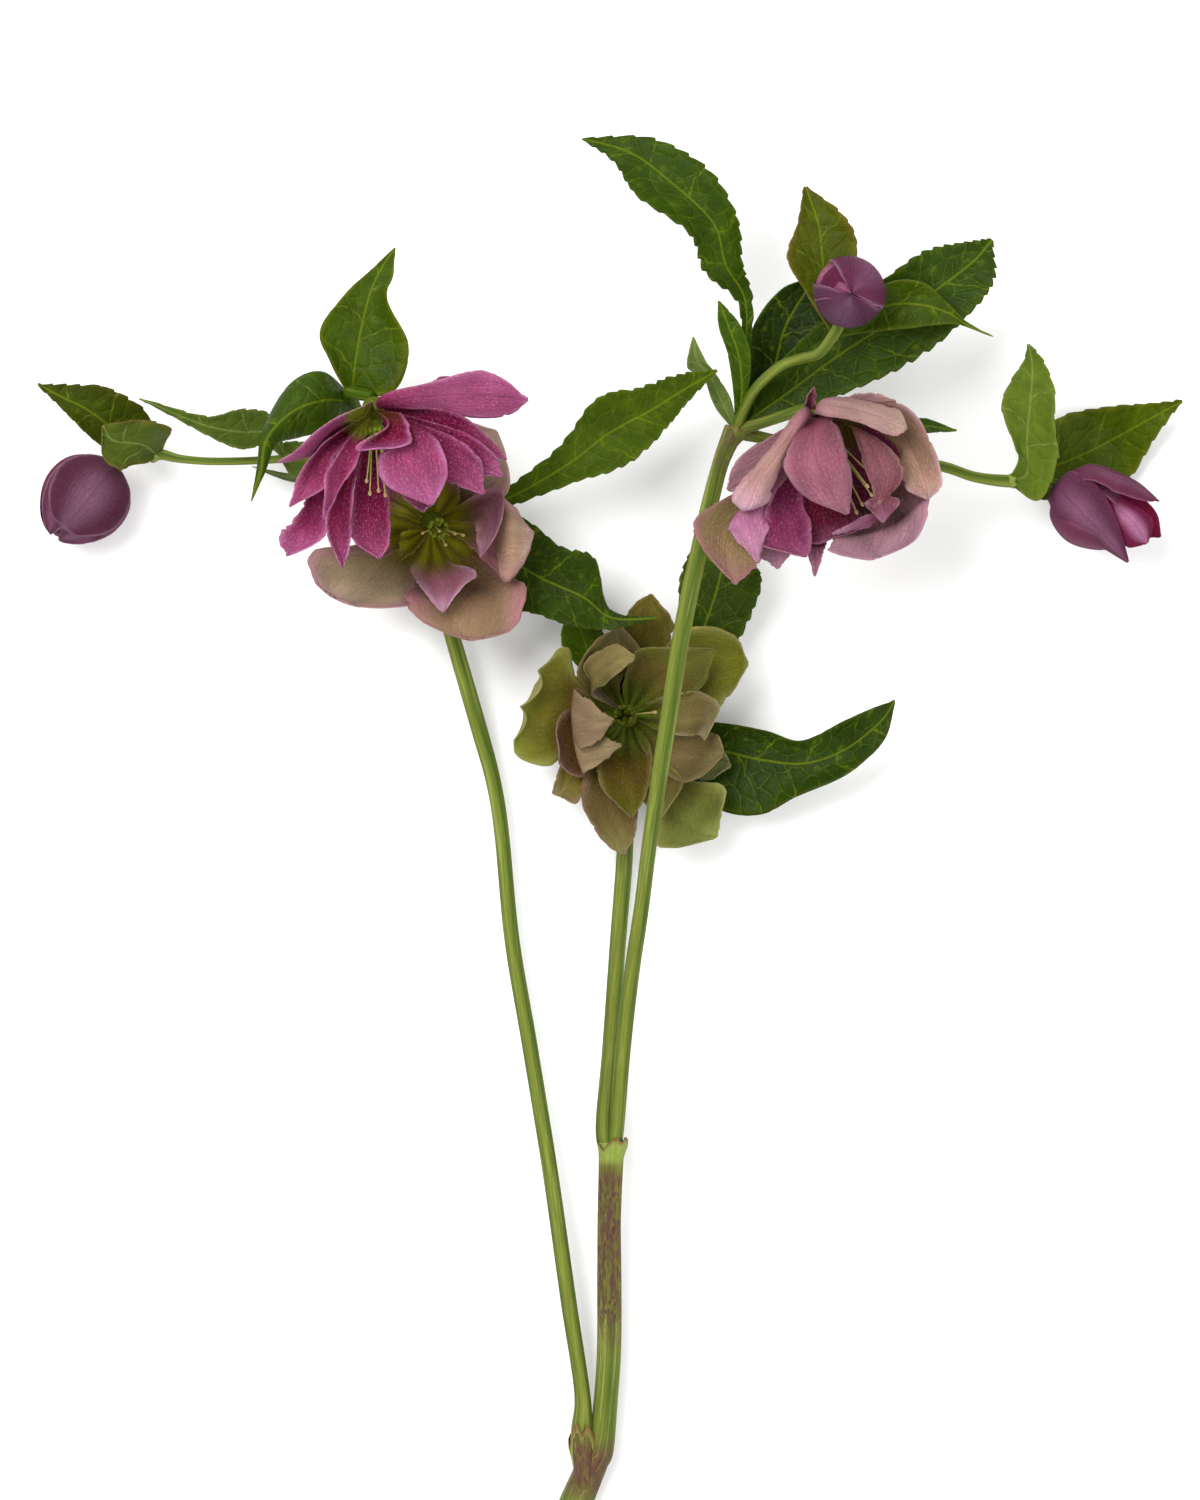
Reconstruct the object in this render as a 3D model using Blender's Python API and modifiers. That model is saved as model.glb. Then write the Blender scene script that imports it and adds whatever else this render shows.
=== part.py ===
# Hellebore: a cut stem with four flowers, three buds and its leaves, laid down on a table.
# The side the photo shows is up. X runs to the photo's right, Y to its top, Z to the viewer.
# All lengths in the tables are millimetres.
import math

import bmesh
import bpy
import numpy as np
from mathutils import Matrix, Vector

MM = 0.001
CENTRE = (0.0, 0.0)          # shift of the drawing's middle, so the whole sits over the origin
PETAL_THICK = 0.7
LEAF_THICK = 0.7
GAP = 0.35                   # air between a leaf or flower and the stem that carries it
CLAW = 0.19                  # width at a petal's foot, as a share of its first width
TIP = 0.07                   # width left at a petal's tip
RECEPTACLE = 3.6             # radius of the knob the petals grow from
PETAL_MESH = {1: (3, 2), 2: (3, 3), 3: (4, 4), 4: (5, 4)}   # rows and columns by stations
TOOTHED_MESH = (9, 4)
PLAIN_MESH = (6, 4)
NARROW_MESH = (6, 2)
WELD = 1e-5                  # metres; points nearer than this become one after a Boolean

# Where each flower sits and which way it faces.
FLOWERS = {
    "bloom_1": ((-65.5, 118.5, 47.0), (0.05, -0.85, 0.50)),
    "bloom_2": ((-49.5, 87.0, 20.0), (0.20, -0.20, 0.95)),
    "bloom_3": ((5.0, 33.0, 13.0), (-0.10, 0.0, 1.0)),
    "bloom_4": ((57.5, 116.5, 45.0), (0.40, -0.65, 0.65)),
}

# Where the anthers of each flower stand.
STAMENS = {
    "bloom_1": [(-67.5, 98.5, 61), (-66.6, 95, 62), (-64.2, 95.8, 63), (-62.4, 94.6, 61), (-61.3, 97.4, 62)],
    "bloom_2": [(-41, 83.4, 36), (-43.2, 83.8, 37), (-45.8, 80.8, 35), (-47.5, 84.5, 38),
                (-52, 84, 36)],
    "bloom_3": [(12.6, 33.8, 27)],
    "bloom_4": [(73, 94.5, 60), (71.8, 97, 61), (70.4, 92, 58), (68.8, 89.8, 57), (74, 99, 60)],
}

# Stem pieces: points with their radius. A later piece starts inside the one it grows from.
STEMS = [
    ("main", [(-12, -195, 3.85, 4.7), (-8.7, -186.8, 4.3, 4.6), (-4.5, -177, 6, 4.2),
              (-2.5, -173, 7, 3.8), (-1.1, -161, 8, 3.4), (0, -145, 9, 3.4), (0.1, -125, 10, 3.4),
              (0.1, -109, 11, 3.3), (0.6, -93, 12, 3.5), (0.8, -87, 12.3, 3.9)]),
    ("left", [(-7.0, -182, 7.5, 2.6), (-7.6, -169, 9.3, 3.1), (-7.6, -157, 10, 2.25),
              (-11.5, -131, 10, 2.25), (-16.4, -96.3, 10, 2.2), (-22.2, -60.5, 9, 2.2),
              (-27.3, -30.2, 8, 2.15), (-30.2, -0.3, 8, 2.1), (-32.6, 14.6, 8, 2.15),
              (-36.7, 29.7, 8, 2.3), (-44.2, 55.7, 8, 2.2), (-49, 73, 8, 2.1),
              (-52.5, 88, 8.5, 2.3), (-61, 104, 12, 2.0), (-69, 115, 25, 1.9),
              (-72.5, 122.6, 38, 2.0), (-69.8, 122.7, 42.5, 1.8), (-66.1, 121.9, 45.0, 1.6)]),
    ("flower_2_stalk", [(-52.5, 87.5, 8.5, 2.0), (-50.4, 88.1, 12, 1.9), (-48.7, 88.1, 16.4, 1.8)]),
    ("left_branch", [(-62, 105.5, 13, 1.4), (-75, 106, 16, 1.2), (-86, 105.5, 18, 1.15),
                     (-96, 104.6, 18.5, 1.1), (-110, 104.2, 18.5, 1.1), (-120, 104.9, 17.5, 1.15),
                     (-127.4, 106.4, 17, 1.6), (-134, 104.8, 15.5, 1.2), (-139, 101.6, 14, 1.2)]),
    ("middle", [(1.6, -90, 12, 2.2), (-1.5, -84.3, 11.5, 2.3), (0.3, -60.8, 8.5, 2.3),
                (2.5, -30.2, 6, 2.3), (4.1, -10.4, 4.8, 2.35), (5, 5, 4.4, 2.3),
                (7, 20, 4.4, 2.3), (8, 33, 5, 2.6), (6, 34.5, 7, 2.2), (5.3, 33.3, 9.6, 1.9)]),
    ("right", [(0.6, -90, 12.2, 2.2), (1.9, -84.3, 13.4, 2.2), (3.9, -60.5, 18, 2.2),
               (6.2, -40.3, 24, 2.2), (9.1, -20.4, 31, 2.15), (11.6, -0.3, 37, 2.15),
               (16.2, 29.7, 42, 2.4), (20.7, 58, 43, 2.45), (25.6, 80.9, 40, 2.4),
               (28.3, 92.4, 38, 2.4), (31.4, 103.9, 35.5, 2.35), (35.2, 113, 34, 3.0)]),
    ("bud_top_stalk", [(34.9, 112, 34, 1.9), (40.3, 123.2, 41.5, 1.5), (47.6, 130.2, 47, 1.5),
                       (53.2, 132.4, 49, 1.5), (58.7, 134.1, 50, 1.55), (63, 139.6, 51.5, 1.6),
                       (65.6, 144.5, 53, 1.6)]),
    ("right_branch", [(34.9, 112.3, 34, 2.0), (46, 110, 31, 1.6), (60, 107, 28, 1.5),
                      (78, 104.5, 26, 1.5), (92.7, 102.8, 26, 1.5), (102.7, 99.7, 24.5, 1.5),
                      (112.6, 98.6, 23, 1.8), (119, 99.6, 22.5, 1.4), (125.5, 97.8, 21, 1.4)]),
    ("flower_4_stalk", [(35, 112.5, 34, 2.0), (43, 114.8, 37.5, 1.6), (50, 117.0, 40, 1.6),
                        (55.2, 118.6, 42.4, 1.6)]),
]

# A blade is: foot, stations (left edge, middle, right edge), tip. A petal's foot is its flower.
BLOOM_1 = [
    ("top_left", None, [((-68.2, 111.4, 50), (-68.2, 116, 52), (-66.3, 119.8, 60)),
                        ((-74.2, 108.9, 50), (-76.3, 112.4, 56), (-75.2, 116.4, 66)),
                        ((-81.3, 105.5, 52), (-83, 106.3, 60), (-84.6, 108.6, 68))], (-92.1, 103.3, 62)),
    ("top_right", None, [((-63.2, 122, 58), (-61.4, 120.3, 58), (-60.3, 118.6, 55)),
                         ((-51.4, 125.4, 67), (-50.5, 121.9, 64), (-49, 118.3, 59)),
                         ((-38.5, 128.4, 76), (-39.1, 122.4, 69), (-40.1, 115.9, 62)),
                         ((-29.4, 126.1, 77), (-29.4, 121.6, 73), (-28.5, 116.6, 68))], (-22.5, 120.6, 75)),
    ("behind_top", None, [((-48.5, 126.4, 60), (-46.1, 125.6, 57), (-44.6, 124.5, 54))], (-40.8, 127.1, 62)),
    ("right_1", None, [((-48.5, 118.5, 60), (-49.5, 116.4, 57), (-50.5, 114.1, 56)),
                       ((-37, 113.6, 63), (-38.8, 110.9, 60), (-40.8, 108.5, 59))], (-28.5, 104.1, 60)),
    ("right_2", None, [((-44, 113, 63), (-45.5, 110.9, 61), (-46.5, 107.9, 60)),
                       ((-32.8, 106.4, 66), (-36.1, 103.7, 64), (-40.6, 100.8, 63))], (-29.7, 99.4, 64)),
    ("right_3", None, [((-44.5, 110.8, 66), (-47.5, 107.9, 63), (-48.5, 104.7, 62)),
                       ((-36.1, 104.3, 69), (-40.3, 101.4, 66), (-45.3, 98.2, 65))], (-34.9, 94.5, 67)),
    ("front_right", None, [((-49.9, 111.5, 71), (-54.9, 111.3, 67), (-58.4, 108.6, 66)),
                           ((-45.4, 104.8, 75), (-54.2, 104, 70), (-64.5, 104.9, 67)),
                           ((-45.4, 98, 76), (-53.2, 97.7, 72), (-61.9, 96.9, 69))], (-49.5, 91.4, 74)),
    ("below_right", None, [((-50, 94.6, 58), (-54.3, 94.9, 54), (-59, 96.3, 52))], (-52, 89.6, 58)),
    ("small_inner", None, [((-57.2, 116.3, 69), (-59.9, 115, 62), (-61.5, 114.3, 66)),
                           ((-55.5, 112.2, 72), (-60.6, 110.8, 64), (-65.8, 110.5, 69)),
                           ((-55, 108.5, 74), (-61.8, 107.8, 67), (-70.2, 107.2, 71))], (-62.7, 107.1, 71)),
    ("lower_middle", None, [((-63.3, 102.1, 49), (-67, 102.4, 46), (-70.1, 100.6, 50)),
                            ((-61.2, 92.1, 55), (-66.5, 91.2, 50.5), (-71.8, 90.7, 55)),
                            ((-61, 82.2, 58), (-65.9, 81, 55), (-71.4, 82, 58))], (-64, 76.6, 57)),
    ("lower_narrow", None, [((-70.3, 100.7, 57), (-72.9, 99.3, 54), (-75.3, 96.6, 58)),
                            ((-71.5, 90.1, 60), (-75.3, 89, 55), (-79, 87.1, 60)),
                            ((-71.9, 81.2, 60), (-74.8, 80, 57), (-77.4, 80, 61))], (-74.2, 74.2, 61)),
    ("left_folded", None, [((-69.1, 106.4, 60), (-72.8, 106.1, 62), (-76, 105.1, 67)),
                           ((-74.4, 96.5, 63), (-76.6, 96.5, 63), (-79.1, 95.7, 69))], (-79.5, 87.5, 69)),
    ("far_left", None, [((-76.3, 105, 58), (-79.1, 107.2, 56), (-77.4, 110.3, 61)),
                        ((-79.4, 96.6, 59), (-83, 98.3, 57), (-85.6, 101.2, 61))], (-89, 91, 61)),
    ("lower_left", None, [((-77.5, 97.3, 52), (-80.4, 96.7, 49), (-83.3, 95.9, 52)),
                          ((-79, 89.4, 54), (-82.5, 88.4, 50), (-86.2, 88.7, 54)),
                          ((-79.5, 82.4, 57), (-85.3, 81.3, 53), (-92, 83, 57))], (-89.8, 77.3, 57)),
]

BLOOM_2 = [
    ("left", None, [((-51.8, 72.4, 23), (-61.6, 76.6, 20), (-69.7, 81, 24)),
                    ((-55.1, 64, 28), (-68.7, 69.2, 26), (-83.4, 78.3, 30)),
                    ((-68.1, 63.2, 32), (-75.4, 65.8, 30), (-82.6, 70.5, 32))], (-77.8, 66.3, 32)),
    ("bottom", None, [((-30.9, 74.4, 24), (-43.8, 71.6, 21), (-54.6, 70.6, 25)),
                      ((-23.4, 68.3, 30), (-38.8, 65.1, 27), (-56.1, 65, 31)),
                      ((-27.3, 57.2, 33), (-39.6, 56, 31), (-51.9, 58.8, 32))], (-38.6, 53.8, 33)),
    ("bottom_inner", None, [((-44.8, 76.3, 27), (-49.8, 76.4, 23), (-55.3, 74.3, 26)),
                            ((-36.8, 73.2, 39), (-46, 71.3, 31), (-53.7, 69.5, 31)),
                            ((-40.9, 68.7, 37), (-45.9, 66.5, 34), (-50.5, 66.1, 33))], (-46.6, 61.8, 36)),
    ("right_inner", None, [((-39.6, 93, 32), (-40.8, 90, 27), (-41.8, 87.3, 30)),
                           ((-30.5, 96.9, 41), (-34, 91.4, 36), (-37.5, 86.2, 38)),
                           ((-29.8, 87.3, 42), (-33.2, 84.2, 39), (-37.2, 81.2, 41))], (-35.5, 77.5, 43)),
    ("right", None, [((-36.8, 93.5, 26), (-36.4, 87.5, 22), (-36.8, 80.5, 24)),
                     ((-29.4, 93.2, 33), (-28.6, 84.4, 37), (-29.5, 71.5, 33)),
                     ((-24.3, 88, 33), (-24, 82.4, 35), (-23.9, 75, 33))], (-21.1, 83.9, 31)),
    ("right_low", None, [((-35.3, 87.5, 28), (-37.3, 84.5, 24), (-39.6, 81, 26)),
                         ((-30, 79.5, 33), (-31.8, 77.3, 32), (-34.8, 76.3, 34))], (-29.4, 71.3, 31)),
    ("top_right", None, [((-50, 98, 24), (-43, 96, 21), (-37, 92, 25)),
                         ((-47, 109, 33), (-38, 104, 30), (-29, 95, 33)),
                         ((-40, 114.6, 36), (-34, 110, 34), (-28.3, 104, 36))], (-31.5, 112.5, 37)),
    ("top_inner", None, [((-50, 97, 28), (-46, 95, 24), (-42, 92, 27))], (-43, 103, 35)),
    ("left_inner", None, [((-58, 80, 25), (-58, 86, 22), (-58, 92, 25)),
                          ((-66, 77, 30), (-67, 85, 28), (-66, 94, 30))], (-73, 85, 33)),
    ("top_left", None, [((-62, 90.5, 25), (-58, 97, 23), (-50, 100, 25)),
                        ((-70, 97, 31), (-63, 105, 30), (-53, 111, 32))], (-65, 110, 34)),
    ("left_low_inner", None, [((-52.7, 81, 30), (-55.3, 82, 26), (-58.2, 83.5, 28))], (-57.9, 76.5, 29)),
]

BLOOM_3 = [
    ("left_torn", None, [((-9.8, 25.1, 16), (-10.5, 33.5, 14), (-8.1, 42.4, 16)),
                         ((-16.5, 19.1, 20), (-18.6, 33.5, 17), (-12.2, 52.1, 20)),
                         ((-26.1, 22.1, 23), (-24.2, 32.6, 21), (-20.1, 45.8, 24))], (-25.1, 35.1, 24)),
    ("left_low", None, [((-3, 18, 15), (-7, 21, 13), (-11, 24, 15)),
                        ((-8.5, 9, 17), (-12, 13, 15), (-14.5, 16, 17))], (-15.8, 11, 17)),
    ("bottom", None, [((9, 20, 16), (3, 19, 13), (-6, 21, 16)),
                      ((8, 5, 19), (1, 6, 15), (-7.2, 8, 18)),
                      ((7, -1, 20), (3, -2, 17), (-1.8, -2, 19))], (4, -6.2, 18)),
    ("bottom_right", None, [((21.8, 15.8, 15), (18.1, 12.9, 13), (14.3, 9.7, 15)),
                            ((31.9, 13, 18), (23.7, 6.2, 14), (12.6, -1.1, 17)),
                            ((31.7, 5.5, 20), (25.5, -0.1, 17), (16.6, -4.4, 19))], (30, -1.4, 19)),
    ("right_behind", None, [((17, 32, 12), (16, 28, 11), (15, 23, 12)),
                            ((31, 24, 14), (29, 20, 13), (26, 15, 14))], (34.2, 18.5, 15)),
    ("upper_right", None, [((9, 41, 16), (11, 37, 14), (12, 33, 16)),
                           ((20, 56.6, 21), (24, 47, 17), (27, 33, 20)),
                           ((34, 56, 24), (35, 47.5, 21), (34.8, 40, 23))], (39, 47.5, 24)),
    ("right", None, [((12, 37, 19), (13, 33, 17), (13, 29, 19)),
                     ((24, 40, 24), (23, 33, 20), (22, 27, 23)),
                     ((31, 35.5, 27), (28, 31.5, 25), (25, 27.5, 26))], (27, 26.3, 28)),
    ("right_low", None, [((13, 29, 17), (12, 26, 15), (10, 23, 17)),
                         ((26, 28.5, 21), (23, 22.5, 17), (18, 15, 20)),
                         ((31, 27, 23), (28, 21.5, 20), (24.5, 14.8, 22))], (32, 22, 22)),
    ("upper_right_inner", None, [((4, 42, 20), (9, 41, 17), (13, 37, 19)),
                                 ((9, 51.5, 26), (17, 46, 22), (25.5, 40.5, 24))], (29.3, 51.4, 29)),
    ("top", None, [((0, 42, 15), (6, 43, 13), (11, 41, 15)),
                   ((3, 57, 20), (10, 56, 16), (18, 56, 19)),
                   ((6.5, 63.6, 22), (11, 62, 20), (16.9, 61, 22))], (11.8, 66.9, 23)),
    ("upper_left", None, [((-8.5, 43, 18), (-3, 43, 16), (3, 42, 18)),
                          ((-5, 52.5, 23), (1, 51.5, 19), (9, 51, 22))], (3, 58, 24)),
    ("upper_left_curled", None, [((-7, 46, 21), (-5, 42.5, 18.5), (-4.5, 39, 21)),
                                 ((1, 53, 27), (0.5, 47.5, 26), (-0.5, 42, 28))], (7.3, 49.3, 31)),
    ("left_curled", None, [((-8.5, 24, 21), (-10, 32, 18), (-9, 40.5, 21)),
                           ((-3.5, 25.5, 28), (-5, 31, 28), (-5, 36.5, 28))], (1.4, 31.7, 31)),
    ("left_curled_low", None, [((-7, 17.5, 20), (-9, 23.5, 18), (-9.5, 29, 20)),
                               ((-2, 20, 24), (-3, 23.5, 24.5), (-1.5, 27, 25.5))], (3.5, 24.7, 27)),
    ("left_brown", None, [((-7, 16, 18), (-11, 24, 16), (-13, 34, 19))], (-14, 19.5, 22)),
    ("lower_inner", None, [((12, 24, 18), (5, 22, 15), (-3, 22, 18)),
                           ((11, 13, 22), (5, 12, 19), (-2, 13, 22))], (6.5, 4.2, 23)),
    ("lower_right_inner", None, [((14, 22, 17), (11, 19, 15), (9, 17, 17)),
                                 ((20.5, 14.5, 21), (15.5, 11, 18), (10, 9, 20))], (15, 4.5, 21)),
]

BLOOM_4 = [
    ("top_hook", None, [((54.5, 119.2, 51), (56.1, 120, 49), (57.9, 119.8, 51))], (57.1, 124.6, 52)),
    ("left_front", None, [((53.8, 118.3, 56), (54.7, 116.8, 60), (55.6, 115.3, 57)),
                          ((45.6, 108.6, 59), (48.5, 107.8, 64), (51.3, 108.1, 60)),
                          ((37.4, 99.2, 60), (41.6, 98, 65), (46.3, 98, 61)),
                          ((34.3, 93.3, 60), (39.1, 91.7, 64), (44.3, 92.3, 61))], (37.3, 89.8, 62)),
    ("left_behind", None, [((46, 111.3, 52), (48, 106, 50), (50, 100, 52)),
                           ((35.5, 104, 54), (39, 99, 53), (43, 94, 54))], (33, 95.8, 56)),
    ("left_low", None, [((46.2, 91.9, 50), (43.2, 95.2, 49), (40.2, 98.8, 51)),
                        ((42.2, 76.5, 52), (33.8, 84.4, 51), (26.1, 89.6, 54)),
                        ((39.7, 73.3, 52), (32.5, 75.3, 52), (24.5, 82.4, 55))], (34.9, 69.5, 54)),
    ("left_light", None, [((44.9, 91.8, 57), (40.2, 91.3, 58), (35.6, 89.1, 57)),
                          ((44.1, 84.4, 58), (39.6, 83.4, 60), (34.5, 83.2, 58))], (41.4, 75.4, 60)),
    ("magenta", None, [((53.1, 94.3, 53), (49.6, 94.5, 52), (46.3, 95.5, 54)),
                       ((54.6, 86.4, 57), (49.6, 85.6, 54), (44.6, 86.4, 57)),
                       ((54.9, 79.9, 58), (49.6, 79.6, 56), (43.7, 80.2, 58))], (54.6, 77, 58)),
    ("front", None, [((53, 112.6, 60), (57.1, 112.2, 64), (62, 116, 62)),
                     ((48.4, 102.9, 66), (57.4, 104.8, 71), (65.8, 107.8, 66)),
                     ((54.1, 94, 67), (61.8, 94.9, 71), (67.6, 98.6, 67))], (66.3, 88.8, 69)),
    ("right_inner", None, [((67.3, 113.3, 56), (69.4, 112.3, 58), (72.1, 112.1, 56)),
                           ((70.6, 103.2, 60), (74.8, 103.6, 63), (79.8, 105.4, 59)),
                           ((73, 97, 62), (76.9, 97.2, 63), (82.1, 99.4, 60))], (75.2, 91.6, 62)),
    ("top_fold", None, [((58.9, 116.7, 64), (59.1, 119, 62), (59.6, 120.9, 56)),
                        ((68.8, 114.1, 68), (69.2, 117.6, 66), (69.7, 121.1, 59)),
                        ((79.4, 110.8, 69), (79.6, 114.3, 68), (79.9, 118, 62))], (83, 112.8, 68)),
    ("right", None, [((79.8, 120.1, 54), (79.4, 113.2, 50), (78.9, 106.8, 51)),
                     ((88.5, 111.6, 59), (85, 106.7, 54), (81, 102.3, 54)),
                     ((92.6, 98.7, 62), (88.3, 97.2, 58), (82.8, 96.1, 57))], (88.9, 93, 61)),
    ("top_behind", None, [((68, 122, 51), (69, 119, 49), (70, 116, 48)),
                          ((74, 122.8, 53), (75, 120, 51), (76, 117, 50))], (80, 120.5, 53)),
    ("bottom_right", None, [((85.3, 95.8, 51), (76, 89.9, 46), (67.5, 87.2, 48)),
                            ((89.2, 92.8, 57), (76.9, 83.9, 52), (62.5, 82.4, 55)),
                            ((84.9, 81.6, 61), (74.8, 78.4, 57), (61.8, 78.2, 58))], (73.3, 76.2, 60)),
    ("bottom_narrow", None, [((60.3, 85.4, 50), (57.4, 85.5, 49), (54.7, 84.4, 50)),
                             ((60.2, 79.4, 54), (57.5, 78.7, 53), (54.9, 80.2, 54))], (57.4, 71.7, 55)),
    ("bottom_ragged", None, [((52, 95, 47), (48, 95, 46), (43, 95, 48)),
                             ((52, 82, 51), (46, 82, 50), (38, 82, 51))], (47, 73.8, 52)),
    ("star_tip", (76.4, 94.2, 62), [((80.9, 92.5, 60.5), (76.5, 90.8, 61.5), (71.4, 91.9, 60.5))], (76.3, 86.6, 60.5)),
    ("deep_magenta", None, [((65, 95.2, 51), (59.6, 95.2, 49), (54.1, 94.8, 51)),
                            ((68.9, 86.4, 54), (61, 84.9, 52), (53.6, 82.4, 53))], (59.5, 81, 55)),
    ("bottom_fold", (79.9, 90.5, 48.7), [((70.9, 85, 54.5), (70.7, 86.9, 57), (71.3, 88.5, 57.5))], (62.2, 83.5, 57.5)),
    ("inner_dark", None, [((72, 114.2, 50), (67, 109.3, 48), (61, 102.3, 50)),
                          ((80.9, 105.3, 52), (74.9, 99.8, 50), (67, 92.4, 51))], (77.4, 91.4, 52)),
]

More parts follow.
